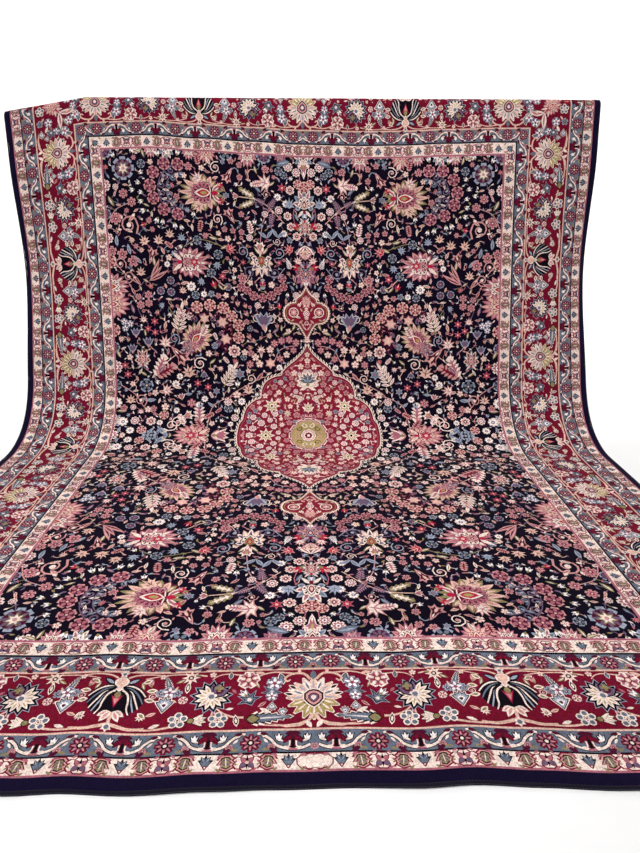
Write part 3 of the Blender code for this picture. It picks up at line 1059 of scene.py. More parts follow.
FIELD = (
    # motif, then its places: out and up from the middle and size, in mm, and its turn if it has one
    ("halo_wine", (548, 578, 137, -45)),
    ("halo_blue", (626, 1297, 122, 90)),
    ("palmette_sun", (519, 1293, 111, 90), (600, 545, 92, -45)),
    ("palmette_red", (619, 941, 96, -90), (290, 1500, 62, 180), (590, 1502, 46, 180), (785, 1500, 46, 180),
     (1040, 815, 85, -90)),
    ("palmette_orange", (610, 0, 88, 90), (500, 1500, 58, 180), (1042, 725, 88, -90)),
    ("palmette_fan", (233, 967, 78, 180)),
    ("palmette_plum", (641, 496, 46, -45), (0, 905, 72, 180), (120, 1505, 42, 180)),
    ("palmette_blue", (0, 1255, 72), (0, 1500, 60, 180), (705, 1502, 50, 180), (1040, 95, 48, -90)),
    ("palmette_dark", (889, 433, 53), (0, 1150, 48, 180)),
    ("plum_flower", (933, 1401, 58), (719, 845, 21), (774, 790, 21), (719, 786, 21), (205, 1490, 40),
     (1030, 1490, 45), (1038, 1180, 28), (1038, 500, 30)),
    ("sky_flower", (839, 1419, 22), (130, 1419, 22), (104, 1401, 19), (568, 1056, 24, 10), (461, 986, 25, 30),
     (501, 890, 24, 50), (589, 775, 22), (874, 296, 39), (304, 606, 16), (344, 452, 18), (430, 170, 25),
     (400, 1492, 38), (1036, 300, 30)),
    ("rose_daisy", (81, 1445, 24), (39, 1418, 22), (926, 96, 24), (944, 33, 22), (433, 207, 22),
     (359, 210, 21), (393, 115, 22), (860, 1495, 28), (1036, 1320, 32), (1036, 1060, 28), (1036, 395, 36),
     (1036, 200, 32), (1036, 0, 36)),
    ("pale_pink", (73, 1329, 23), (89, 1199, 22), (73, 1145, 22), (43, 1097, 22)),
    ("daisy", (97, 1260, 18), (611, 819, 25), (715, 304, 21), (989, 89, 27)),
    ("cream_feather", (694, 578, 170, -12), (456, 289, 163, -30)),
    ("pink_comb", (544, 1430, 59, 10), (543, 1156, 59, 170), (952, 1160, 44, 60), (819, 348, 126, -25),
     (815, 347, 122, -60), (581, 89, 119, 5), (507, 141, 59, 120), (515, 230, 37, 30), (560, 50, 75, 35)),
    ("plum_feather", (189, 1227, 81, -35), (167, 1212, 81, 170), (204, 1249, 67, 60)),
    ("blue_comb", (230, 812, 59), (800, 12, 80, 90)),
    ("cream_comb", (219, 1356, 63, 100), (281, 1101, 67, 10), (567, 563, 67, -30), (660, 75, 70, 30)),
    ("white_feather", (78, 923, 67, 20)),
    ("salmon_blossom", (33, 1360, 24), (585, 713, 33), (515, 724, 33, 10), (444, 711, 33, 20),
     (400, 670, 31, 30), (365, 622, 33, 40), (367, 556, 33, 50), (393, 484, 34, 60), (774, 130, 27),
     (841, 93, 27), (884, 37, 27), (0, 1345, 30), (1036, 945, 38), (1036, 590, 36)),
    ("pink_blossom", (650, 1425, 33), (722, 1423, 33, 10), (779, 1379, 33, 20), (800, 1314, 34, 30),
     (786, 1253, 33, 40), (735, 1199, 33, 50), (663, 1181, 33, 60), (344, 823, 24), (313, 806, 22),
     (279, 779, 25), (232, 769, 25), (185, 781, 25), (150, 808, 22), (119, 830, 22), (126, 875, 24)),
    ("peach_blossom", (548, 654, 31), (452, 636, 33, 20), (437, 547, 33, 40), (200, 421, 31)),
    ("lily_leaf", (826, 849, 116, -35), (833, 841, 116, -70), (830, 846, 100, -52), (878, 819, 80, 30)),
    ("pink_leaf", (411, 1304, 52, 40), (411, 1282, 52, 140), (404, 901, 44, 90), (56, 856, 44, 10),
     (911, 770, 44, 20), (663, 641, 41, 20), (667, 678, 37, 10), (685, 281, 52, 70), (278, 326, 59, -45)),
    ("sky_pair", (200, 1079, 56, 10), (144, 1086, 56, -10), (740, 0, 90, 90)),
    ("olive_leaf", (1019, 1445, 37, 60), (181, 1345, 37, -60), (448, 1016, 44, -70), (507, 1075, 52, -110),
     (800, 916, 52), (867, 556, 37), (1007, 444, 52, 20), (870, 348, 44, 50), (530, 415, 44, -60),
     (978, 152, 52, 80), (78, 600, 44, -30), (137, 593, 37, -10), (1020, 1270, 60, 200)),
    ("olive_comb", (263, 1286, 89, 62), (263, 1264, 85, 112)),
    ("steel_leaf", (389, 1286, 44, 90), (226, 1308, 44, 40), (33, 1175, 44, 20), (830, 1086, 41, 30),
     (63, 812, 37, 30), (804, 15, 52, -30), (70, 1470, 80, 100)),
    ("cream_pair", (0, 1050, 70, 180)),
    ("cream_leaf", (485, 1430, 44, 20), (485, 1156, 44, 160), (904, 1086, 44, 60), (774, 15, 37, -60),
     (222, 585, 67), (163, 659, 33, 20), (378, 133, 44, -10)),
    ("pink_pair", (515, 0, 60, -90), (0, 975, 55)),
    ("sky_leaf", (989, 1019, 56, 10), (922, 975, 56, 20), (867, 930, 52, 50), (626, 252, 44, 100),
     (822, 219, 59, 100), (856, 215, 44, 80), (848, 4, 52, -20), (1004, 15, 44), (507, 178, 44, 60)),
    ("plum_leaf", (804, 363, 52, -45), (922, 674, 52, 10), (256, 585, 44, 60), (185, 585, 44, -60)),
    ("olive_pair", (830, 1490, 44, 150), (441, 804, 41)),
    ("peach_leaf", (922, 1145, 44, -60), (744, 975, 41, 20), (667, 830, 44, -80), (507, 659, 30, 20),
     (765, 593, 44, -20), (915, 356, 37, -40), (807, 267, 44, -110), (456, 237, 25)),
    ("curl_pink", (922, 1123, 59, 40), (981, 930, 37, 50), (941, 864, 37, -30), (904, 215, 41, 30)),
    ("curl_cream", (457, 1419, 33, 150), (457, 1164, 33, 30), (581, 415, 41, 120), (730, 67, 44, -60),
     (267, 659, 30, 60), (193, 659, 30, -60), (307, 337, 31, -30), (700, 85, 45, 60)),
    ("curl_plum", (296, 902, 37, 120), (165, 902, 37, -120)),
    ("curl_sky", (330, 1008, 33, 30), (137, 1008, 33, -30), (711, 544, 33, 30)),
    ("trumpet_peach", (393, 1386, 44, 150), (389, 1186, 44, 30), (811, 967, 44, -20), (689, 459, 63, -135)),
    ("tulip_plum", (919, 578, 31), (854, 528, 34), (941, 495, 31), (561, 356, 24, 180), (230, 652, 59)),
    ("maple_cream", (548, 1364, 41, 60), (200, 1356, 56, 80), (41, 967, 30, -30), (763, 520, 44, -10),
     (874, 641, 27), (248, 489, 30)),
    ("tulip_pink", (359, 1286, 21, 90), (685, 237, 24, 10), (460, 0, 55, -90)),
    ("maple_peach", (548, 1227, 41, 120), (844, 1038, 33, 30), (772, 1041, 33, -10), (711, 1075, 30),
     (874, 882, 31), (656, 793, 25), (641, 363, 46, 10), (767, 270, 41, -80), (959, 213, 33), (900, 148, 22),
     (322, 270, 39), (0, 1010, 34, 180)),
    ("trumpet_cream", (239, 1023, 41), (656, 122, 44, -60), (248, 474, 27), (0, 1430, 45)),
    ("maple_red", (400, 1016, 37, -60), (81, 1025, 34, 60)),
    ("maple_sky", (78, 1255, 36)),
    ("red_star", (115, 1338, 27), (330, 953, 18), (140, 956, 18), (589, 945, 37), (442, 875, 25),
     (815, 633, 24), (852, 596, 22), (815, 576, 22), (985, 404, 25), (973, 356, 25), (541, 289, 24),
     (596, 310, 24), (620, 0, 45)),
    ("cream_star", (933, 1401, 36, 20)),
    ("maple_sky", (650, 1062, 27), (507, 1025, 28, 60), (469, 934, 28, 200), (553, 847, 26, 120)),
    ("blue_star", (407, 1286, 19), (419, 1449, 15), (496, 267, 22), (367, 361, 31)),
    ("red_bud", (433, 1330, 25, 60), (433, 1255, 25, 120), (230, 841, 25), (844, 1123, 22, 100),
     (489, 830, 27, 20), (581, 185, 25), (144, 726, 22), (45, 1145, 30, 40), (48, 935, 30, 70)),
    ("rose", (941, 1279, 24), (901, 1236, 24), (989, 1156, 30), (885, 719, 22), (841, 728, 21),
     (841, 770, 21)),
    ("small_pink", (596, 1419, 21), (376, 1456, 16), (333, 1440, 16), (333, 1381, 16), (331, 1197, 16),
     (378, 1112, 16), (333, 1107, 16), (422, 1116, 16), (337, 871, 27), (967, 979, 28), (911, 941, 30),
     (1019, 997, 25), (993, 170, 21), (863, 163, 19), (833, 167, 19), (770, 178, 22), (322, 641, 16),
     (337, 478, 18), (304, 474, 18), (385, 248, 22)),
    ("berry", (626, 941, 25), (604, 517, 22), (630, 200, 25), (176, 528, 21), (137, 543, 21), (96, 550, 21),
     (59, 536, 20), (200, 495, 21), (74, 493, 19), (111, 469, 19), (148, 447, 20), (280, 452, 21),
     (310, 415, 21), (259, 417, 21)),
    ("pink_bud", (159, 622, 19), (367, 737, 22), (326, 726, 19, 20), (322, 685, 22, 40), (311, 563, 22, 30),
     (289, 541, 21, 60), (307, 504, 21, 90), (381, 307, 24)),
    ("white_bud", (981, 1467, 19, 30), (956, 1495, 19, 10), (919, 1504, 19, -5), (884, 1486, 19, -25),
     (844, 1379, 18, -60), (752, 1471, 22, 10), (700, 1473, 19, -10), (685, 1490, 21, 10),
     (647, 1482, 21, -20), (861, 1330, 19, 70), (894, 1295, 19, 100), (850, 1282, 18, 80),
     (852, 1238, 19, 110), (844, 1192, 21, 110), (774, 1145, 22, 150), (744, 1138, 19, 170),
     (681, 1123, 21, 190), (647, 1116, 19, 200), (581, 1186, 19, 170), (263, 1160, 19), (393, 945, 22),
     (381, 871, 19), (389, 156, 19), (0, 850, 22)),
    ("white_flower", (978, 633, 19), (947, 622, 19), (974, 599, 18)),
)

FIELD_VINES = (
    # dye, points out and up, in mm
    (PEACH, ((360, 1286), (263, 1275), (190, 1240), (107, 1160))),
    (SALMON, ((174, 1234), (219, 1160), (237, 1050))), (SALMON, ((1033, 1115), (990, 1197), (907, 1234))),
    (PLUM, ((878, 820), (826, 864), (715, 893))),
    (SALMON, ((878, 820), (950, 870), (1010, 945), (1030, 1000))),
    (SALMON, ((1033, 310), (937, 250), (878, 170), (789, 126))),
    (OLIVE, ((694, 570), (707, 652), (737, 710))), (PEACH, ((842, 340), (760, 420), (680, 480))),
    (SALMON, ((215, 410), (175, 440), (150, 490), (100, 512), (50, 518))),
    (SALMON, ((390, 190), (420, 240), (330, 300), (240, 345))), (SKY, ((237, 905), (160, 880), (110, 930))),
    (OLIVE, ((640, 1020), (560, 1060), (470, 1040), (400, 1010))),
    (ROSE, ((33, 1480), (20, 1330), (60, 1200), (10, 1090))),
    (PLUM, ((1000, 1260), (960, 1330), (940, 1400))),
    (PEACH, ((500, 880), (420, 820), (330, 840), (290, 900))),
    (SALMON, ((540, 50), (520, 170), (440, 230), (330, 250))), (PLUM, ((850, 620), (900, 700), (860, 790))),
)

MEDALLION_ROWS = (
    # motif, then its places: out and up from the middle and size, in mm, and its turn if it has one
    ("small_cream", (0, 470, 15), (0, 437, 17), (37, 405, 18), (72, 369, 18)),
    ("crown_flower", (0, 316, 72)),
    ("cream_pair", (0, 150, 45)),
    ("white_bud", (0, 235, 16, 180)),
    ("cream_feather", (24, 242, 62, 140), (30, 222, 58, 60)),
    ("gold_lily", (196, 185, 48), (225, 2, 50), (0, 176, 34), (112, 142, 22, 10)),
    ("maple_cream", (160, 214, 24, -40), (258, 170, 22, 60)),
    ("pale_berry", (252, 82, 20), (297, 47, 20), (312, 0, 20), (184, 60, 18), (160, 20, 14)),
    ("maple_cream", (140, 70, 24, 30)),
    ("small_pink", (102, 85, 17), (115, 35, 17), (132, 0, 14), (62, 132, 19), (117, 117, 15)),
    ("small_cream", (157, 262, 16), (112, 224, 16), (97, 183, 15), (232, 242, 16)),
    ("small_pink", (182, 292, 18), (207, 260, 15), (85, 307, 18), (107, 279, 15), (88, 342, 14)),
    ("rose_daisy", (147, 317, 15), (66, 268, 14)),
    ("pale_berry", (177, 137, 16), (235, 130, 16), (295, 117, 17), (205, 100, 15)),
    ("small_blue", (285, 155, 14), (147, 152, 13), (318, 90, 14)),
)

FINIAL_ROWS = (
    # the same columns
    ("ringed", (68, 697, 27)),
    ("palmette_orange", (0, 752, 33)),
    ("small_cream", (0, 716, 10), (40, 738, 9), (0, 668, 12)),
    ("rose_daisy", (0, 692, 18)),
    ("cream_leaf", (36, 726, 30, -20), (32, 668, 34, 70), (98, 732, 18, -50), (102, 664, 18, 230)),
    ("olive_leaf", (22, 700, 26, 20), (64, 660, 24, 110)),
    ("tulip_pink", (0, 640, 18, 180)),
    ("peach_leaf", (20, 655, 26, 125), (14, 620, 24, 30)),
    ("pink_pair", (0, 600, 36)),
    ("maple_cream", (0, 545, 26)),
    ("olive_leaf", (85, 590, 50, 100)),
)

FILL = (
    # motif, share, size in mm
    ("small_pink", 2.8, 18), ("salmon_blossom", 1.2, 21), ("rose_daisy", 1.6, 18), ("daisy", 1.2, 17),
    ("small_cream", 2.2, 16), ("small_blue", 0.9, 18), ("plum_flower", 0.9, 19), ("berry", 1.0, 15),
    ("white_bud", 2.6, 18), ("pink_bud", 2.0, 18), ("red_bud", 1.0, 18), ("blue_bud", 0.6, 18),
    ("maple_peach", 1.8, 21), ("maple_red", 0.5, 19), ("maple_sky", 0.8, 21), ("olive_leaf", 0.8, 38),
    ("peach_leaf", 2.4, 34), ("pink_leaf", 1.8, 36), ("cream_leaf", 2.6, 34), ("sky_leaf", 0.9, 36),
    ("steel_leaf", 0.7, 38), ("plum_leaf", 1.2, 36), ("cream_comb", 0.8, 45), ("pink_comb", 0.8, 45),
    ("curl_cream", 0.4, 22), ("curl_pink", 0.4, 22),
)
SMALL_FILL = (
    # motif, share, size in mm
    ("white_bud", 1.0, 10), ("small_pink", 1.0, 10), ("fleck_pink", 2.0, 20), ("fleck_rose", 1.5, 19),
    ("fleck_cream", 2.0, 18), ("fleck_sky", 1.4, 20), ("fleck_olive", 1.0, 21), ("fleck_plum", 1.2, 20),
)
MEDALLION_FILL = (
    # motif, share, size in mm
    ("small_pink", 4, 14), ("small_cream", 2, 12), ("pale_berry", 2, 13), ("small_blue", 1, 12),
    ("white_bud", 2, 12), ("fleck_cream", 3, 20), ("fleck_pink", 3, 20), ("fleck_plum", 1, 19),
    ("fleck_olive", 1, 20),
)


def in_metres(points):
    """Points given in thousandths of a metre."""
    return [(x / 1000, y / 1000) for x, y in points]


def from_thousandths(rows):
    """Rows of (motif, three numbers in thousandths, turn), as metres and shares."""
    return [(name, share / 1000, out / 1000, size / 1000, turn) for name, share, out, size, turn in rows]


def placed_rows(table):
    """Each place of a table as (motif, out, up, size, turn), in metres and degrees."""
    for name, *places in table:
        for number, (out, up, size, *turn) in enumerate(places):
            # Painted light: near the middle every other planned flower takes paler yarns
            pale = table is FIELD and up * MM < PAINTED_LIGHT_UP_TO and number % 2
            motif = PAINTED_LIGHT_SWAPS.get(name, name) if pale else name
            yield motif, out * MM, up * MM, size * MM, turn[0] if turn else 0


def inside_outline(outline):
    """A test for being inside a closed outline."""
    xs, ys = np.array(outline).T
    next_xs, next_ys = np.roll(xs, -1), np.roll(ys, -1)

    def test(x, y):
        crosses = (ys > y) != (next_ys > y)
        where = (next_xs - xs) * (y - ys) / np.where(crosses, next_ys - ys, 1.0) + xs
        return int((crosses & (x < where)).sum()) % 2 == 1
    return test


def rectangle(out, up):
    return [(0, 0), (out, 0), (out, up), (0, up)]


def scaled(outline, share, about=0.0):
    return [(x * share, about + (y - about) * share) for x, y in outline]


def full_medallion():
    path = smooth_path(in_metres(MEDALLION), 3)
    right = path[:-1]
    return (right + [(path[-1][0], 0.0)] + [(x, -y) for x, y in reversed(right)]
            + [(-x, -y) for x, y in right[1:]] + [(-path[-1][0], 0.0)]
            + [(-x, y) for x, y in reversed(right[1:])])


def full_finial():
    path = smooth_path(in_metres(FINIAL), 3)
    return path + [(-x, y) for x, y in reversed(path[1:-1])]


def teeth_along(cartoon, outline, dye, length, width, pitch):
    """Small leaves that stand out all along an outline."""
    carry = 0.0
    for (x0, y0), (x1, y1) in zip(outline, outline[1:]):
        size = math.hypot(x1 - x0, y1 - y0)
        place = pitch - carry
        while place <= size:
            part = place / size
            x, y = x0 + (x1 - x0) * part, y0 + (y1 - y0) * part
            if x > -0.02 and y > -0.02:
                out = math.atan2(-(y1 - y0), (x1 - x0)) - math.pi / 2
                cartoon.add(dye, shifted(almond(length, width, -length * 0.4), x, y, out + math.pi + 0.5))
            place += pitch
        carry = (carry + size) % pitch


# Steps of the points at which the rug bends, and where the closer ones on the bar end
BEND_END = 1.84
GRID_ACROSS = 0.030
GRID_UP = 0.026


@functools.lru_cache(maxsize=1)
def field_quarter():
    """The field, its medallion and its finial: the quarter out to the right and up."""
    rng = random.Random(11)
    box = BANDS[-1][2:]
    cartoon = Cartoon()
    cartoon.add(NAVY, rectangle(*box))
    medallion = full_medallion()
    finial = full_finial()
    in_medallion = inside_outline(scaled(medallion, 1.05))
    in_finial = inside_outline(scaled(finial, 1.10, FINIAL_MIDDLE))

    # The planned flowers keep their room, but are drawn over the small ones
    planned = Cartoon()
    planned.draw_rows(FIELD)
    cartoon.taken = planned.taken

    def bare(x, y):
        return not in_medallion(x, y) and not in_finial(x, y)

    # The last numbers of scatter are the gap to keep and how often to try; True turns on the paler flowers of
    # the painted light
    stems, placed = scatter(cartoon, rng, bare, FILL, box, 0.0075, 26000, True)
    cartoon.taken += [(x, y, size * (0.45 if long_one else 0.9)) for _n, x, y, size, _t, long_one in placed]
    small_stems, small = scatter(cartoon, rng, bare, SMALL_FILL, box, 0.0045, 16000, True)
    for dye, path in FIELD_VINES:
        cartoon.add(dye, ribbon(smooth_path(in_metres(path)), 0.0046, 0.0034))
    plant(cartoon, stems + small_stems, small + placed)
    cartoon.draw_rows(FIELD)

    # The finial over the medallion's tip
    teeth_along(cartoon, finial[::-1], PEACH, 0.020, 0.007, 0.0145)
    for dye, share in ((CREAM, 1.0), (CRIMSON, 0.945), (OLIVE, 0.90), (MADDER, 0.87)):
        cartoon.add(dye, scaled(finial, share, FINIAL_MIDDLE))
    cartoon.draw_rows(FINIAL_ROWS)

    # The medallion
    teeth_along(cartoon, medallion[::-1], CREAM, 0.031, 0.0082, 0.0205)
    for dye, share in ((OLIVE, 1.0), (CREAM, 0.994), (WINE, 0.982), (MADDER, 0.975), (ROSE, 0.954),
                       (MADDER, 0.948)):
        cartoon.add(dye, scaled(medallion, share))
    ground = inside_outline(scaled(medallion, 0.93))
    inner = Cartoon()
    inner.draw_rows(MEDALLION_ROWS)
    inner.taken.append((0.0, 0.0, GOLD_DISC))
    stems, placed = scatter(inner, rng, ground, MEDALLION_FILL, (0.375, 0.50), 0.002, 12000)
    plant(cartoon, [(rng.choice((PEACH, SALMON, CREAM)), path) for _dye, path in stems], placed)
    cartoon.draw_rows(MEDALLION_ROWS)

    # The gold disc at its heart, lobed, with scrolls round a small rosette
    lobes = petals(12, 0.094, 0.083, 0.30)
    for dye, size in ((CREAM, 1.12), (WINE, 1.06), (SALMON, 1.02), (GOLD, 0.96)):
        cartoon.add(dye, [(x * size, y * size * 1.08) for x, y in lobes])
    for number in range(12):
        angle = 2 * math.pi * (number + 0.5) / 12
        x, y = polar(0.064, angle)
        scroll = shifted(spiral(0.017, 1.0, 8, number * 0.7, 0.35), x, y * 1.08, angle)
        cartoon.add((CREAM, WINE, SALMON)[number % 3], ribbon(scroll, 0.0046))
    for dye, radius in ((WINE, 0.047), (CREAM, 0.044), (SALMON, 0.037), (CREAM, 0.030), (CRIMSON, 0.022),
                        (IVORY, 0.009)):
        cartoon.add(dye, [(x * 0.9, y) for x, y in petals(8, radius, radius * 0.84)])

    return cartoon, cartoon.cut(box, grid(*box, GRID_ACROSS, GRID_UP))


# Rows of the borders, all but their turns in thousandths of a metre or of a repeat
BORDER_CELL = (
    # motif, share of the way from sunflower to lotus, towards the field from the middle, size, turn
    ("blue_sprig", 155, 46, 46, 15), ("winged", 214, 20, 35, 0), ("white_flower", 202, 51, 24, 0),
    ("white_flower", 214, 6, 17, 0), ("bell", 210, -26, 19, 180), ("pink_leaf", 240, -12, 28, 135),
    ("rose_head", 339, 66, 33, 0), ("olive_leaf", 300, 56, 24, 215), ("blue_sprig", 435, 70, 28, 0),
    ("small_cream", 530, 88, 10, 0), ("olive_leaf", 670, 76, 28, 130), ("border_star", 643, 80, 26, 0),
    ("slot_bud", 649, 45, 21, 0), ("winged", 325, -4, 40, 20), ("white_bud", 356, 18, 18, 40),
    ("peach_leaf", 500, -34, 34, 190), ("half_palmette", 520, 11, 54, 0), ("rose_head", 660, 2, 13, 0),
    ("peach_leaf", 690, -4, 22, 70), ("border_leaf", 741, 43, 52, 20), ("small_blue", 696, 26, 14, 0),
    ("small_blue", 782, 28, 14, 0), ("white_flower", 738, 30, 22, 0), ("bell", 750, -14, 37, 0),
    ("peach_leaf", 780, -36, 28, 120), ("curl_cream", 815, 18, 14, 0), ("pink_bud", 845, 62, 16, 20),
    ("olive_leaf", 870, 40, 30, 30), ("border_leaf", 310, -68, 112, -86), ("bell", 155, -48, 18, 0),
    ("fleck_cream", 215, -50, 34, 60), ("slot_bud", 381, -70, 20, 10), ("quince", 470, -68, 26, 0),
    ("finger_tulip", 577, -67, 31, -88), ("quince", 665, -64, 26, 0), ("fleck_cream", 745, -74, 30, 110),
    ("border_star", 851, -51, 14, 0), ("small_cream", 790, 86, 9, 0), ("fleck_olive", 590, 86, 18, 80),
    ("fleck_rose", 395, 20, 20, 40), ("fleck_cream", 400, -30, 22, 100), ("fleck_peach", 255, 88, 30, 80),
    ("fleck_peach", 700, 50, 18, 160),
)
BORDER_VINES = (
    # width, then points as the cell's, in thousandths
    (6.6, ((345, -62), (400, -58), (450, -46), (490, -28))),
    (7.2, ((660, -78), (740, -88), (830, -90), (920, -84))),
    (5, ((560, 84), (660, 93), (780, 91), (880, 78))),
    (5.6, ((100, 86), (200, 92), (280, 80), (310, 60))),
    (4.4, ((370, 84), (450, 90), (500, 84), (530, 70))),
    (5, ((100, -86), (180, -90), (270, -86))),
)


class Side:
    """A band's middle line in the quarter: along the rug's end or along its side."""

    def __init__(self, at_end, distance):
        self.at_end = at_end
        self.distance = distance
        self.length_to_corner = (RUG_WIDTH if at_end else RUG_LENGTH) / 2 - 0.35

    def base(self, start, forward=1):
        if self.at_end:
            return (start, self.distance), (forward, 0.0), (0.0, 1.0)
        return (self.distance, start), (0.0, forward), (1.0, 0.0)


def repeat(cartoon, side, length, start, pitch, rows):
    """Draw a guard's rows both ways from each rosette; the first one is at start."""
    for number in range(-1, math.ceil((length - start) / pitch) + 1):
        for forward in (1, -1):
            base = side.base(start + number * pitch, forward)
            for name, share, out, size, turn in from_thousandths(rows):
                place = start + (number + forward * share) * pitch
                if not -0.002 < place < length - 0.012 or (forward < 0 and share in (0.0, 0.5)):
                    continue
                cartoon.draw(name, share * pitch, out, size, turn, base, keep=False)


@functools.lru_cache(maxsize=1)
def band_places():
    """Each band's outer distance at side and end, and its width."""
    places = {}
    side, end = RUG_WIDTH / 2, RUG_LENGTH / 2
    for name, _dye, side_width, end_width in BANDS:
        places[name] = (side, end, side_width)
        side -= side_width
        end -= end_width
    return places


def wave(cartoon, side, length, start, pitch, depth, width, dye):
    """A vine under each mushroom whose two ends hook round the rosettes beside it."""
    shares = [0.14 + 0.72 * step / 14 for step in range(15)]
    swings = [(share, math.cos(2 * math.pi * share)) for share in shares]
    arc = [(share, -depth * math.copysign(abs(swing) ** 0.6, swing)) for share, swing in swings]
    hook = [(0.158, -0.56 * depth), (0.136, -0.88 * depth), (0.104, -1.04 * depth), (0.072, -0.94 * depth)]
    for repeat_start in np.arange(start - pitch, length, pitch):
        for line in (arc, hook, [(1 - share, out) for share, out in hook]):
            path = [(repeat_start + share * pitch, out) for share, out in line]
            path = [(along, out) for along, out in path if 0 <= along <= length]
            if len(path) > 2:
                cartoon.add(dye, ribbon(laid(path, side.base(0.0)), width))


# Along the end and along the side: its first flower, from one flower to the next, and how many there are
MAIN_ROWS = ((True, "sunflower", 0.525, 3), (False, "lotus", 0.50, 4))
SUNFLOWER_SIZE = 0.070
LOTUS_SIZE = 0.074
# How much of the cell beside a corner is drawn
CORNER_REACH = 0.25


def main_border(cartoon):
    """Sunflowers and lotuses in turn along the band, and what stands between them."""
    outer_side, outer_end, width = band_places()["main"]
    for at_end, first, step, count in MAIN_ROWS:
        side = Side(at_end, (outer_end if at_end else outer_side) - width / 2)
        for number in range(count):
            centre = number * step
            base = side.base(centre)
            if (number % 2 == 0) != (first == "sunflower"):
                cartoon.draw("lotus", 0.0, 0.0, LOTUS_SIZE, 180, base, keep=False)
                continue
            for forward in (1, -1):
                cell = side.base(centre, forward)
                reach = CORNER_REACH if centre + step > side.length_to_corner and forward > 0 else 1.0
                if centre == 0.0 and forward < 0:
                    continue
                for vine_width, points in BORDER_VINES:
                    path = [(share * step, -out) for share, out in in_metres(points)]
                    if path[-1][0] < reach * step:
                        path = smooth_path(laid(path, cell), 3)
                        cartoon.add(PEACH, ribbon(path, vine_width / 1000, vine_width / 1000 * 0.6))
                for name, share, out, size, turn in from_thousandths(BORDER_CELL):
                    if share < reach:
                        cartoon.draw(name, share * step, -out, size, 180 - turn, cell, keep=False)
            cartoon.draw("sunflower", 0.0, 0.0, SUNFLOWER_SIZE, 0, base, keep=False)
    x, y = outer_side - width / 2, outer_end - width / 2
    for name, across, up, size, turn in from_thousandths(CORNER):
        cartoon.draw(name, x + across, y + up, size, turn, keep=False)


CORNER = (
    # motif, out and up from the corner's middle, size, turn
    ("cream_pair", -30, -30, 80, 225), ("palmette_orange", 0, 0, 52, 45), ("quince", 68, -12, 24, 0),
    ("quince", -12, 68, 24, 0), ("rose_head", 64, 64, 28, 0), ("white_flower", -72, 30, 22, 0),
    ("white_flower", 30, -72, 22, 0), ("small_blue", -72, 74, 18, 0), ("small_blue", 74, -72, 18, 0),
    ("olive_leaf", -50, -60, 50, 200), ("peach_leaf", -60, -40, 50, 290), ("red_bud", 80, 24, 16, 90),
    ("white_bud", 26, 80, 18, 0), ("winged", 20, -122, 34, 170), ("winged", -122, 20, 34, 280),
    ("bell", 70, -122, 24, 180), ("bell", -122, 70, 24, 270), ("slot_bud", -40, -112, 20, 20),
    ("slot_bud", -112, -40, 20, 70), ("white_flower", -76, -76, 22, 0), ("fleck_cream", 40, 30, 26, 60),
    ("fleck_cream", 30, 44, 26, 30), ("fleck_peach", 50, -45, 24, 140), ("fleck_peach", -45, 50, 24, 320),
)


BLUE_ROWS = (
    # motif, share of a repeat, out from the band's middle, size, turn
    ("guard_rosette", 0, 4, 26.5, 0), ("mushroom", 500, -1, 24, 180), ("guard_curls", 330, -10, 24, 180),
    ("fleck_wine", 185, 16, 30, 75), ("posy", 245, 16, 10, 0), ("fleck_wine", 100, -24, 22, 80),
    ("fleck_rose", 440, 24, 18, 95), ("fleck_cream", 360, 20, 22, 100), ("fleck_olive", 130, 24, 22, 95),
    ("fleck_cream", 150, -8, 18, 40), ("fleck_wine", 400, -21, 30, 100), ("fleck_wine", 220, 20, 26, 60),
)
CREAM_ROWS = (
    ("guard_cloud", 500, 0, 22, 0), ("guard_leaf", 248, 0, 21, 8), ("guard_tulip", 0, 1, 21.5, 180),
    ("fleck_rose", 130, -16, 18, 110), ("fleck_olive", 130, 14, 18, 50), ("fleck_rose", 370, 15, 15, 60),
    ("fleck_rose", 370, -19, 15, 120),
)

# Along a band's middle line: from the rug's axis to the first rosette or tulip, and from one to the next
GUARDS = (
    # band, its rows, first at the side, pitch, first at the end, pitch
    ("outer_blue", BLUE_ROWS, 0.1095, 0.219, 0.157, 0.2075),
    ("inner_blue", BLUE_ROWS, 0.106, 0.212, 0.050, 0.200),
    ("outer_cream", CREAM_ROWS, 0.070, 0.2155, 0.063, 0.1965),
    ("inner_cream", CREAM_ROWS, 0.070, 0.218, 0.180, 0.2068),
)


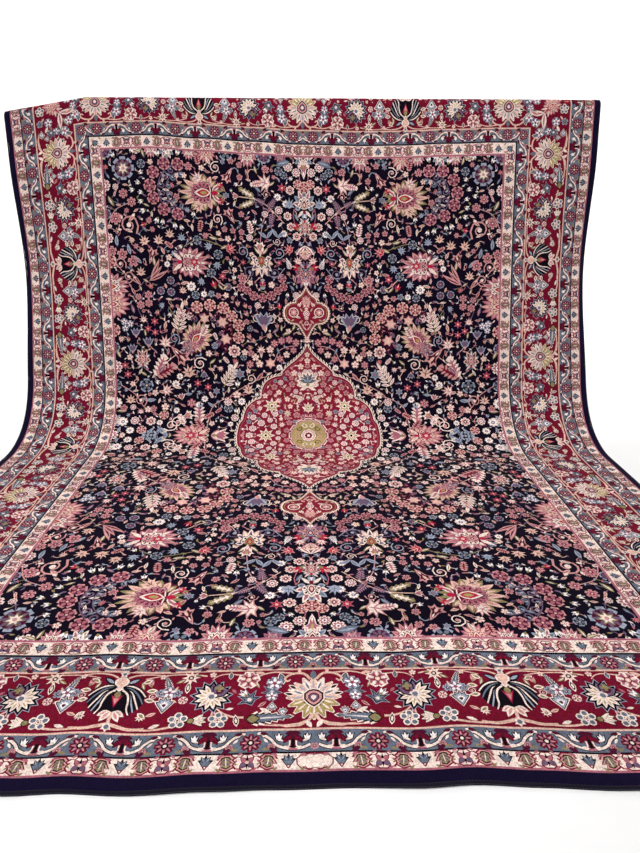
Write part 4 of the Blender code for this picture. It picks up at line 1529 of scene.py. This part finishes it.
@functools.lru_cache(maxsize=1)
def frame_quarter():
    """The bands around the field: the quarter out to the right and up."""
    cartoon = Cartoon()
    side, end = RUG_WIDTH / 2, RUG_LENGTH / 2
    for shrink in (0.0, 0.003, 0.008):
        cartoon.add(INDIGO, rectangle(side - shrink, end - shrink))
    places = band_places()
    for name, dye, _side_width, _end_width in BANDS[1:-1]:
        out, up, _width = places[name]
        cartoon.add(dye, rectangle(out, up))
    main_border(cartoon)
    for name, rows, side_start, side_pitch, end_start, end_pitch in GUARDS:
        out, up, width = places[name]
        for at_end, length, distance, start, pitch in (
                (True, out - width / 2, up - width / 2, end_start, end_pitch),
                (False, up - width / 2, out - width / 2, side_start, side_pitch)):
            band = Side(at_end, distance)
            if rows is BLUE_ROWS:
                for vine_width, dye in ((0.0118, INK), (0.0070, CREAM)):
                    wave(cartoon, band, length, start, pitch, width * 0.37, vine_width, dye)
            repeat(cartoon, band, length, start, pitch, rows)
        corner = "guard_rosette" if rows is BLUE_ROWS else "guard_tulip"
        cartoon.draw(corner, out - width / 2, up - width / 2, width * 0.42, 225, keep=False)
    # A plain cream cloud in the middle of the outer cream guard
    _out, up, width = places["outer_cream"]
    cloud = both_sides(in_metres([(0, 18), (18, 20), (24, 14), (36, 16), (44, 8), (45, -8), (36, -16),
                                  (24, -14), (18, -20), (0, -18)]))
    for dye, size in ((CRIMSON, 1.0), (CREAM, 0.93)):
        cartoon.add(dye, shifted(cloud, 0.0, up - width / 2, size=size))
    out, up, _width = places["field"]
    cartoon.add(BARE, rectangle(out, up))
    bends = [(x, y) for x, y in grid(side, end, GRID_ACROSS, GRID_UP) if x > out - 0.01 or y > up - 0.01]
    bends += grid(side, BEND_END, 0.034, 0.007, BAR_ZONE[0])
    return cartoon, cartoon.cut((side, end), bends)


def whole(quarters):
    """Flat points, triangles and dyes of the whole rug, from those of parts of its quarter."""
    points = []
    triangles = []
    dyes = []
    start = 0
    for flat, faces, dye in quarters:
        used, faces = own_points(flat, faces)
        for across, up in ((1, 1), (-1, 1), (1, -1), (-1, -1)):
            points.append(flat[used] * (across, up))
            triangles.append((faces if across * up > 0 else faces[:, ::-1]) + start)
            dyes.append(dye)
            start += len(used)
    return np.concatenate(points), np.concatenate(triangles), np.concatenate(dyes)


# On the back, silhouettes and other shapes show from these sizes up, each with about so many points
BACK_SILHOUETTE = 0.034
BACK_DETAIL = 0.052
BACK_POINTS = 10


def rug_from_behind():
    """The drawing as the back shows it: silhouettes, and of the rest what is large enough to read."""
    cartoon = Cartoon()
    size = RUG_WIDTH / 2, RUG_LENGTH / 2
    for quarter in (frame_quarter, field_quarter):
        for dye, outline, rank in quarter()[0].shapes:
            reach = max(extent(outline)[2:])
            if reach > 1.0 and dye != BARE:
                cartoon.shapes.append((dye, outline, rank))
            elif reach > (BACK_SILHOUETTE if rank == 0 else BACK_DETAIL):
                cartoon.shapes.append((dye, outline[::max(1, round(len(outline) / BACK_POINTS))], rank))
    bends = grid(*size, 0.045, 0.040) + grid(size[0], BEND_END, 0.06, 0.008, BAR_ZONE[0])
    return whole([cartoon.cut(size, bends)])


# ----------------------------------------------------------------------------------------------------
# Materials

def linear(hex_colour):
    """sRGB hex to linear RGBA."""
    values = [int(hex_colour[start:start + 2], 16) / 255 for start in (1, 3, 5)]
    return tuple(v / 12.92 if v <= 0.04045 else ((v + 0.055) / 1.055) ** 2.4 for v in values) + (1.0,)


def set_inputs(tree, node, inputs):
    """Set a node's inputs by name: values, or other nodes' outputs to link."""
    for name, value in inputs.items():
        if isinstance(value, bpy.types.NodeSocket):
            tree.links.new(value, node.inputs[name])
        else:
            node.inputs[name].default_value = value


def add_node(tree, kind, inputs, output, **settings):
    """Add a node with its settings and inputs, and give back one of its outputs, or all if output is None."""
    node = tree.nodes.new(kind)
    for name, value in settings.items():
        setattr(node, name, value)
    set_inputs(tree, node, inputs)
    return node.outputs[output] if output else node.outputs


def noise(tree, place, scale, detail, roughness=0.5):
    return add_node(tree, "ShaderNodeTexNoise", {"Vector": place, "Scale": scale, "Detail": detail,
                                                 "Roughness": roughness}, "Fac")


def ranged(tree, value, low, high, start=0.0, end=1.0):
    """A value that goes from low to high while another goes from start to end."""
    return add_node(tree, "ShaderNodeMapRange", {"Value": value, "From Min": start, "From Max": end,
                                                 "To Min": low, "To Max": high}, "Result")


def product(tree, first, second):
    return add_node(tree, "ShaderNodeMath", {0: first, 1: second}, "Value", operation="MULTIPLY")


def ramp(tree, value, low, high):
    """A colour between two hex colours."""
    colour = add_node(tree, "ShaderNodeValToRGB", {"Fac": value}, "Color")
    for element, hex_colour in zip(colour.node.color_ramp.elements, (low, high)):
        element.color = linear(hex_colour)
    return colour


def bump(tree, height, strength, distance, inputs=None, **settings):
    return add_node(tree, "ShaderNodeBump", {"Height": height, "Strength": strength, "Distance": distance,
                                             **(inputs or {})}, "Normal", **settings)


def new_material(name, sockets):
    """A material with a bare Principled shader, its uniform numbers set on their own sockets."""
    material = bpy.data.materials.new(name)
    material.use_nodes = True
    tree = material.node_tree
    shader = tree.nodes["Principled BSDF"]
    set_inputs(tree, shader, sockets)
    return material, tree, shader


def loom_place(tree):
    """The place on the flat rug, in metres."""
    return add_node(tree, "ShaderNodeAttribute", {}, "Vector", attribute_name="loom")


def wool(name, colour, abrash, knot_size):
    """Hand-spun, dyed wool, knotted and sheared to a pile.

    The cut yarn ends face the eye, so it is matt, with a soft sheen at low angles. Each knot took the dye a
    little differently, and each batch of yarn ran across the loom for a few centimetres (abrash).
    """
    material, tree, shader = new_material(name, {
        "Metallic": 0.0,
        "IOR": 1.55,                    # keratin
        "Specular IOR Level": 0.05,     # cut ends scatter nearly all of it
        "Sheen Weight": 0.10,
        "Sheen Roughness": 0.45,
        "Sheen Tint": tuple(0.15 + 0.85 * part for part in colour[:3]) + (1.0,),
    })
    loom = loom_place(tree)
    # Knots are about 2 mm; drawn at knot_size, since smaller ones vanish at the picture's 5 mm to a pixel
    knots = add_node(tree, "ShaderNodeTexVoronoi", {"Vector": loom, "Scale": 1 / knot_size,
                                                    "Randomness": 0.55}, None)
    knot = add_node(tree, "ShaderNodeSeparateColor", {"Color": knots["Color"]}, None)
    knot_shade = ranged(tree, knot["Red"], 0.74, 1.26)
    # Yarn batches: bands 60 to 120 mm wide that run across the rug
    across = add_node(tree, "ShaderNodeMapping", {"Vector": loom, "Scale": (0.7, 9.0, 1.0)}, "Vector")
    batches = noise(tree, across, 1.0, 3.0)
    batch_shade = ranged(tree, batches, 1 - abrash, 1 + abrash, 0.3, 0.7)
    # Nap: patches some 30 mm wide where the pile lies over one way or the other; in the colour they are
    # painted shade and painted highlight, in the roughness and bump the pile's own
    nap = noise(tree, loom, 30.0, 4.0, 0.6)
    nap_painted_shade = ranged(tree, nap, 0.90, 1.10, 0.3, 0.7)
    shade = product(tree, product(tree, knot_shade, batch_shade), nap_painted_shade)
    hue = ranged(tree, knot["Green"], 0.488, 0.512)
    dyed = add_node(tree, "ShaderNodeHueSaturation", {"Color": colour, "Hue": hue, "Value": shade}, "Color")
    rough = ranged(tree, nap, 0.82, 0.98)
    # Tufts stand about half a millimetre apart in height, and the nap rolls a little more
    tufts = bump(tree, knots["Distance"], 0.5, 0.8 * MM, invert=True)
    rolls = bump(tree, nap, 0.5, 4 * MM, {"Normal": tufts})
    set_inputs(tree, shader, {"Base Color": dyed, "Roughness": rough, "Normal": rolls})
    return material


def cotton_foundation():
    """Undyed cotton warps and wefts, packed hard: matt, off-white, ribbed along the rug."""
    material, tree, shader = new_material("cotton_foundation_woven", {
        "Metallic": 0.0, "IOR": 1.53, "Specular IOR Level": 0.2, "Sheen Weight": 0.15, "Sheen Roughness": 0.6,
        "Roughness": 0.9})
    loom = loom_place(tree)
    # Warp pairs lie 3 mm apart; drawn at 6 mm
    warps = add_node(tree, "ShaderNodeTexWave", {"Vector": loom, "Scale": 50.0, "Distortion": 0.6,
                                                 "Detail": 1.0}, "Fac", bands_direction="X")
    # Darker between the ribs of the warps: painted shade
    ends = ramp(tree, warps, "#a59679", "#d5c8ad")
    set_inputs(tree, shader, {"Base Color": ends, "Normal": bump(tree, warps, 0.6, 0.6 * MM)})
    return material


def overcast_wool(colour):
    """Navy wool wound round the edge cords by hand: matt, with fine ridges at a slant across the cord."""
    material, tree, shader = new_material("wool_overcast_navy", {
        "Metallic": 0.0, "IOR": 1.55, "Specular IOR Level": 0.25, "Sheen Weight": 0.3, "Sheen Roughness": 0.4,
        "Sheen Tint": (0.6, 0.6, 0.7, 1.0), "Roughness": 0.9})
    loom = loom_place(tree)
    # Two-ply yarn about 2 mm thick; drawn at 5 mm so that its ridges show
    slope = (0.0, 0.0, math.radians(12))
    slant = add_node(tree, "ShaderNodeMapping", {"Vector": loom, "Rotation": slope}, "Vector")
    turns = add_node(tree, "ShaderNodeTexWave", {"Vector": slant, "Scale": 62.0, "Distortion": 1.2,
                                                 "Detail": 2.0}, "Fac", bands_direction="DIAGONAL")
    worn = noise(tree, loom, 18.0, 4.0)
    # The yarn is darker in the grooves between its turns: painted shade; the noise over it is wear
    shade = add_node(tree, "ShaderNodeMath", {0: turns, 1: 0.6, 2: worn}, "Value", operation="MULTIPLY_ADD")
    dyed = add_node(tree, "ShaderNodeHueSaturation", {"Color": colour, "Value": shade}, "Color")
    set_inputs(tree, shader, {"Base Color": dyed, "Normal": bump(tree, turns, 0.7, 1.0 * MM)})
    return material


def studio_paper():
    """Matt white background paper, in one sweep from floor to wall."""
    material, tree, shader = new_material("paper_background_white", {
        "Metallic": 0.0, "Specular IOR Level": 0.1, "Roughness": 0.95})
    place = add_node(tree, "ShaderNodeTexCoord", {}, "Object")
    set_inputs(tree, shader, {"Base Color": ramp(tree, noise(tree, place, 3.0, 3.0), "#f6f6f5", "#fafaf9")})
    return material


# ----------------------------------------------------------------------------------------------------
# Meshes

def make_mesh(name, points, faces, normals=None, loom=None, dyes=None, materials=()):
    """A mesh object from arrays. Faces all have the same number of corners."""
    corners = faces.shape[1]
    mesh = bpy.data.meshes.new(name)
    mesh.vertices.add(len(points))
    mesh.vertices.foreach_set("co", points.astype(np.float32).ravel())
    mesh.loops.add(faces.size)
    mesh.loops.foreach_set("vertex_index", faces.astype(np.int32).ravel())
    mesh.polygons.add(len(faces))
    mesh.polygons.foreach_set("loop_start", np.arange(0, faces.size, corners, dtype=np.int32))
    for material in materials:
        mesh.materials.append(material)
    if dyes is not None:
        mesh.polygons.foreach_set("material_index", dyes.astype(np.int32))
    if loom is not None:
        flat = np.zeros((len(points), 3), np.float32)
        flat[:, :2] = loom
        mesh.attributes.new("loom", "FLOAT_VECTOR", "POINT").data.foreach_set("vector", flat.ravel())
    mesh.update(calc_edges=True)
    mesh.polygons.foreach_set("use_smooth", np.ones(len(faces), bool))
    if normals is not None:
        mesh.normals_split_custom_set_from_vertices(normals.astype(np.float32))
    piece = bpy.data.objects.new(name, mesh)
    bpy.context.collection.objects.link(piece)
    return piece


def finish_piece(piece):
    """The piece moves with the rug."""
    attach(piece, "root")
    return piece


def own_points(points, faces):
    """Only the points that the faces use."""
    used, faces = np.unique(faces, return_inverse=True)
    return used, faces.reshape(-1, 3)


def column_places(inset):
    half = RUG_WIDTH / 2 - inset
    inner = half - BORDER_WIDTH
    border = BORDER_WIDTH * (np.arange(9) / 9) ** 1.6
    return np.concatenate([-half + border, np.linspace(-inner, inner, 21), half - border[::-1]])


def row_places(inset=0.0):
    """Places from the rug's top to its front edge, closest together where the rug bends."""
    run = rug_run()
    places = [np.array([0.0])]
    for (start, length, *_rest), rows in zip(run, (4, 26, 24, 26, 22)):
        places.append(start + length * np.arange(1, rows + 1) / rows)
    places = RUG_LENGTH / 2 - np.concatenate(places)
    return np.clip(places, inset - RUG_LENGTH / 2, RUG_LENGTH / 2 - inset)


def sheet_grid(lift):
    """Points, normals, flat places and faces of a plain sheet over the whole rug."""
    across, up = np.meshgrid(column_places(FOUNDATION_INSET), row_places(FOUNDATION_INSET))
    rows, columns = across.shape
    across, up = across.ravel(), up.ravel()
    points, normals = rug_surface(across, up, np.full(len(across), lift))
    corner = (np.arange(rows - 1)[:, None] * columns + np.arange(columns - 1)).ravel()
    faces = np.column_stack([corner, corner + columns, corner + columns + 1, corner + 1])
    return points, normals, np.column_stack([across, up]), faces, (rows, columns)


def build_foundation():
    """The cotton foundation: a closed sheet between the pile and the knots of the back."""
    top, _n, places, faces, (rows, columns) = sheet_grid(FOUNDATION_TOP)
    bottom = sheet_grid(FOUNDATION_BOTTOM)[0]
    count = len(top)
    rim = np.concatenate([np.arange(columns), np.arange(1, rows) * columns + columns - 1,
                          np.arange(columns - 2, -1, -1) + (rows - 1) * columns,
                          np.arange(rows - 2, 0, -1) * columns])
    following = np.roll(rim, -1)
    walls = np.column_stack([rim, following, following + count, rim + count])
    return make_mesh("foundation", np.concatenate([top, bottom]),
                     np.concatenate([faces, faces[:, ::-1] + count, walls]),
                     loom=np.concatenate([places, places]), materials=[cotton_foundation()])


def bake_columns(places, faces, low, high):
    """UVs of a strip folded into two columns, the rug's upper half beside its lower half."""
    upper = places[faces][:, :, 1].mean(axis=1) > 0
    across = (places[faces][:, :, 0] - low) / (high - low)
    up = np.abs(places[faces][:, :, 1]) / (RUG_LENGTH / 2 + 0.01)
    margin = 0.006
    u = margin + across * (0.5 - 2 * margin) + np.where(upper, 0.0, 0.5)[:, None]
    v = margin + np.clip(up, 0, 1) * (1 - 2 * margin)
    return np.stack([u, v], axis=2).reshape(-1, 2)


def add_bake_map(piece, uvs):
    layer = piece.data.uv_layers.new(name="OFBake")
    layer.data.foreach_set("uv", uvs.astype(np.float32).ravel())


def build_pile(materials):
    """The pile, in five strips side by side."""
    flat, faces, dyes = whole([field_quarter()[1], frame_quarter()[1]])
    places = drifted(flat)
    from_edge = np.minimum(RUG_WIDTH / 2 - np.abs(flat[:, 0]), RUG_LENGTH / 2 - np.abs(flat[:, 1]))
    lift = THICKNESS / 2 - EDGE_ROLL * fade(from_edge / EDGE_ROLL_WIDTH)
    across, up = flat.T
    lift += PILE_WAVE * (np.sin(across * 23 + 2 * np.sin(up * 5)) * np.sin(up * 17 + across * 4))
    points, normals = rug_surface(places[:, 0], places[:, 1], lift)
    middles = flat[faces][:, :, 0].mean(axis=1)
    cuts = np.quantile(middles, (0.2, 0.4, 0.6, 0.8))
    strip_of = np.searchsorted(cuts, middles)
    pieces = []
    for number, name in enumerate(PILE_STRIPS):
        strip = strip_of == number
        used, strip_faces = own_points(flat, faces[strip])
        piece = make_mesh(name, points[used], strip_faces, normals[used], flat[used], dyes[strip], materials)
        low, high = flat[used, 0].min(), flat[used, 0].max()
        add_bake_map(piece, bake_columns(flat[used], strip_faces, low, high))
        pieces.append(piece)
    return pieces


def drifted(flat):
    """Where the weaver's hand put the cartoon's points: it wanders up or down near the rug's top."""
    places = flat.copy()
    across, up = flat.T
    share = (1 - fade(up / DRIFT_FULL)) * fade((up - DRIFT_FULL) / (RUG_LENGTH / 2 - DRIFT_FULL - 0.03))
    places[:, 1] += read_table(PATTERN_DRIFT, across) * share
    in_side_bands = np.clip((np.abs(across) - BANDS[-1][2]) / BANDS[-2][2], 0, 1)
    side_drift = np.where(across < 0, *SIDE_DRIFT)
    places[:, 1] -= side_drift * in_side_bands * fade((np.abs(up) - 0.75) / 0.75)
    return places


def tube(across, up, width, height):
    """A cord along the rug, given its middle line's flat places; it lies on the rug's own middle surface."""
    count = len(across)
    ring = 8
    angles = 2 * np.pi * np.arange(ring) / ring
    side_x = np.gradient(up)
    side_y = -np.gradient(across)
    size = np.hypot(side_x, side_y)
    side_x, side_y = side_x / size, side_y / size
    flat = np.column_stack([
        (across[:, None] + side_x[:, None] * width / 2 * np.sin(angles)).ravel(),
        (up[:, None] + side_y[:, None] * width / 2 * np.sin(angles)).ravel()])
    lift = np.tile(height / 2 * np.cos(angles), count)
    points, _normals = rug_surface(flat[:, 0], flat[:, 1], lift)
    ring_start = np.arange(count - 1)[:, None] * ring
    here = np.arange(ring)
    following = (here + 1) % ring
    faces = np.stack([ring_start + here, ring_start + following, ring_start + ring + following,
                      ring_start + ring + here], axis=2).reshape(-1, 4)
    return points, flat, faces


END_STEPS = 120             # of the cord along each end


def build_edges(material, cord_width):
    """The overcast cords along both sides and the turned, sewn-down ends."""
    half_width, half_length = RUG_WIDTH / 2, RUG_LENGTH / 2
    rows = row_places()
    columns = np.linspace(-half_width + 2 * MM, half_width - 2 * MM, END_STEPS)
    middle = cord_width / 2
    parts = []
    start = 0
    for across, up in (
            (np.full(len(rows), half_width - middle), rows), (np.full(len(rows), middle - half_width), rows),
            (columns, np.full(END_STEPS, middle - half_length)),
            (columns, np.full(END_STEPS, half_length - middle))):
        points, flat, faces = tube(across, up, cord_width, THICKNESS)
        parts.append((points, flat, faces + start))
        start += len(points)
    points, flat, faces = (np.concatenate(kind) for kind in zip(*parts))
    return make_mesh("edge_cords", points, faces, loom=flat, materials=[material])


def build_back(materials):
    """The knots' backs: the same pattern, seen through the foundation, in its larger shapes."""
    flat, faces, dyes = rug_from_behind()
    places = drifted(flat)
    points, normals = rug_surface(places[:, 0], places[:, 1], np.full(len(flat), -THICKNESS / 2))
    piece = make_mesh("back_knots", points, faces[:, ::-1], -normals, flat, dyes, materials)
    across, up = flat[faces[:, ::-1].ravel()].T
    low, high = flat[:, 0].min(), flat[:, 0].max()
    add_bake_map(piece, np.column_stack([(across - low) / (high - low), up / RUG_LENGTH + 0.5]) * 0.98 + 0.01)
    return piece


# ----------------------------------------------------------------------------------------------------
# Light, floor and camera

CAMERA_PLACE = (0.039, -2.2658, 1.2855)
CAMERA_PITCH = 68.33        # degrees up from straight down
CAMERA_TURN = -0.402        # degrees about the upright axis
CAMERA_ROLL = 0.268         # degrees about its own axis
LENS = 25.83                # mm on a sensor of 36 mm
ROOM_LIGHT = 0.24


def area_light(name, place, target, size, power, colour=(1.0, 1.0, 1.0)):
    lamp = bpy.data.lights.new(name, "AREA")
    lamp.shape = "RECTANGLE"
    lamp.size, lamp.size_y = size
    lamp.energy = power
    lamp.color = colour
    light = bpy.data.objects.new(name, lamp)
    light.location = place
    light.rotation_mode = "QUATERNION"
    light.rotation_quaternion = (Vector(target) - Vector(place)).to_track_quat("-Z", "Y")
    bpy.context.collection.objects.link(light)
    return light


def build_stage():
    """White paper swept from the floor up behind the rug, soft lights, and the camera of the photograph."""
    half, back, bend, top, front = 12.0, 8.0, 2.0, 9.0, -12.0
    profile = [(front, 0.0), (back - bend, 0.0)]
    for step in range(1, 13):
        angle = math.pi / 2 * step / 12
        profile.append((back - bend + bend * math.sin(angle), bend - bend * math.cos(angle)))
    profile.append((back, top))
    points = np.array([(x, y, z - 0.5 * MM) for y, z in profile for x in (-half, half)])
    first = np.arange(len(profile) - 1) * 2
    faces = np.column_stack([first, first + 1, first + 3, first + 2])
    paper = make_mesh("floor", points, faces, materials=[studio_paper()])

    area_light("softbox_overhead", (-0.6, -2.17, 7.25), (0.0, 0.4, 0.2), (3.0, 2.4), 320.0, (1.0, 0.99, 1.0))
    grid_light = area_light("softbox_with_grid", (-0.5, -3.6, 3.3), (0.0, 0.45, 0.15), (1.8, 1.2), 14.0,
                            (1.0, 0.985, 0.995))
    grid_light.data.spread = math.radians(62)
    for name, side in (("backdrop_left", -1), ("backdrop_right", 1)):
        area_light(name, (side * 5.0, 2.8, 4.0), (side * 1.5, 8.0, 2.0), (3.0, 3.0), 270.0)

    world = bpy.data.worlds.new("pale_room")
    world.use_nodes = True
    world.node_tree.nodes["Background"].inputs["Color"].default_value = (1.0, 1.0, 1.0, 1.0)
    world.node_tree.nodes["Background"].inputs["Strength"].default_value = ROOM_LIGHT
    scene = bpy.context.scene
    scene.world = world
    scene.view_settings.view_transform = "Standard"
    scene.view_settings.look = "None"

    lens = bpy.data.cameras.new("camera")
    lens.lens = LENS
    lens.sensor_width = 36.0
    camera = bpy.data.objects.new("camera", lens)
    camera.location = CAMERA_PLACE
    level = Euler((math.radians(CAMERA_PITCH), 0.0, math.radians(CAMERA_TURN))).to_matrix()
    camera.rotation_euler = (level @ Matrix.Rotation(math.radians(CAMERA_ROLL), 3, "Z")).to_euler()
    bpy.context.collection.objects.link(camera)
    scene.camera = camera


# ----------------------------------------------------------------------------------------------------
# Add-on

def dye_property(name, hex_colour, _abrash, what):
    return FloatVectorProperty(name=name.capitalize(), description=f"Yarn dyed {name}: {what}", size=4,
                               min=0.0, max=1.0, default=linear(hex_colour), subtype="COLOR")


class RugYarns(bpy.types.PropertyGroup):
    """The dyed yarns of the pile."""

    __annotations__ = {row[0]: dye_property(*row) for row in DYES}


class RugSizes(bpy.types.PropertyGroup):
    """The sizes of the rug's yarn work."""

    knot_size: FloatProperty(name="Knot", description="Width of a knot as it is drawn", default=3.5 * MM,
                             min=1.0 * MM, max=10 * MM, unit="LENGTH", subtype="DISTANCE", precision=4)
    cord_width: FloatProperty(name="Edge cord", description="Width of the overcast cord along the edges",
                              default=8.0 * MM, min=3 * MM, max=12 * MM, unit="LENGTH", subtype="DISTANCE",
                              precision=4)


def yarn_materials(scene, prefix, knot_share):
    """One wool material for each dye, made once."""
    made = []
    for name, _hex, abrash, _what in DYES:
        found = bpy.data.materials.get(prefix + name)
        if found is None:
            colour = tuple(getattr(scene.rug_yarns, name))
            found = wool(prefix + name, colour, abrash, scene.rug_sizes.knot_size * knot_share)
        made.append(found)
    return made


class RUG_OT_foundation(bpy.types.Operator):
    """Weave the cotton foundation that carries the knots"""

    bl_idname = "rug.foundation"
    bl_label = "Weave foundation"

    def execute(self, context):
        piece = finish_piece(build_foundation())
        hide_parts("rug")
        return {"FINISHED"}


class RUG_OT_pile(bpy.types.Operator):
    """Knot the pile with its pattern"""

    bl_idname = "rug.pile"
    bl_label = "Knot pile"

    def execute(self, context):
        for piece in build_pile(yarn_materials(context.scene, "wool_pile_", 1.0)):
            finish_piece(piece)
        return {"FINISHED"}


class RUG_OT_back(bpy.types.Operator):
    """Show the knots on the back of the rug"""

    bl_idname = "rug.back"
    bl_label = "Show knots on the back"

    def execute(self, context):
        finish_piece(build_back(yarn_materials(context.scene, "wool_back_", 1.4)))
        return {"FINISHED"}


class RUG_OT_edges(bpy.types.Operator):
    """Overcast the edge cords and sew down the ends"""

    bl_idname = "rug.edges"
    bl_label = "Overcast edges"

    def execute(self, context):
        scene = context.scene
        finish_piece(build_edges(overcast_wool(tuple(scene.rug_yarns.navy)), scene.rug_sizes.cord_width))
        return {"FINISHED"}


class RUG_OT_declare(bpy.types.Operator):
    bl_idname = "rug.declare"
    bl_label = "Declare cloth"

    def execute(self, context):
        with_pieces = list(PILE_STRIPS) + ["back_knots", "edge_cords"]
        missing = [name for name in with_pieces if name not in bpy.data.objects]
        if missing:
            raise RuntimeError(f"These pieces of the cloth aren't made yet: {missing}")
        return {"FINISHED"}


class RUG_OT_stage(bpy.types.Operator):
    """Set up the paper floor, the soft lights and the camera"""

    bl_idname = "rug.stage"
    bl_label = "Set up stage"

    def execute(self, context):
        build_stage()
        return {"FINISHED"}


class RUG_PT_panel(bpy.types.Panel):
    """The rug's operators and settings"""

    bl_label = "Persian rug"
    bl_idname = "RUG_PT_panel"
    bl_space_type = "VIEW_3D"
    bl_region_type = "UI"
    bl_category = "Rug"

    def draw(self, context):
        layout = self.layout
        for operator in OPERATORS:
            layout.operator(operator.bl_idname)
        for group in (context.scene.rug_sizes, context.scene.rug_yarns):
            box = layout.box()
            for name in group.__annotations__:
                box.prop(group, name)


OPERATORS = (RUG_OT_stage, RUG_OT_foundation, RUG_OT_pile, RUG_OT_back, RUG_OT_edges, RUG_OT_declare)
CLASSES = (RugYarns, RugSizes) + OPERATORS + (RUG_PT_panel,)


def register():
    for made in CLASSES:
        bpy.utils.register_class(made)
    bpy.types.Scene.rug_yarns = PointerProperty(type=RugYarns)
    bpy.types.Scene.rug_sizes = PointerProperty(type=RugSizes)


def unregister():
    del bpy.types.Scene.rug_sizes
    del bpy.types.Scene.rug_yarns
    for made in reversed(CLASSES):
        bpy.utils.unregister_class(made)


def main():
    register()
    bpy.ops.rug.stage()
    bpy.ops.rug.foundation()
    bpy.ops.rug.pile()
    bpy.ops.rug.back()
    bpy.ops.rug.edges()
    bpy.ops.rug.declare()


if __name__ == "__main__":
    main()
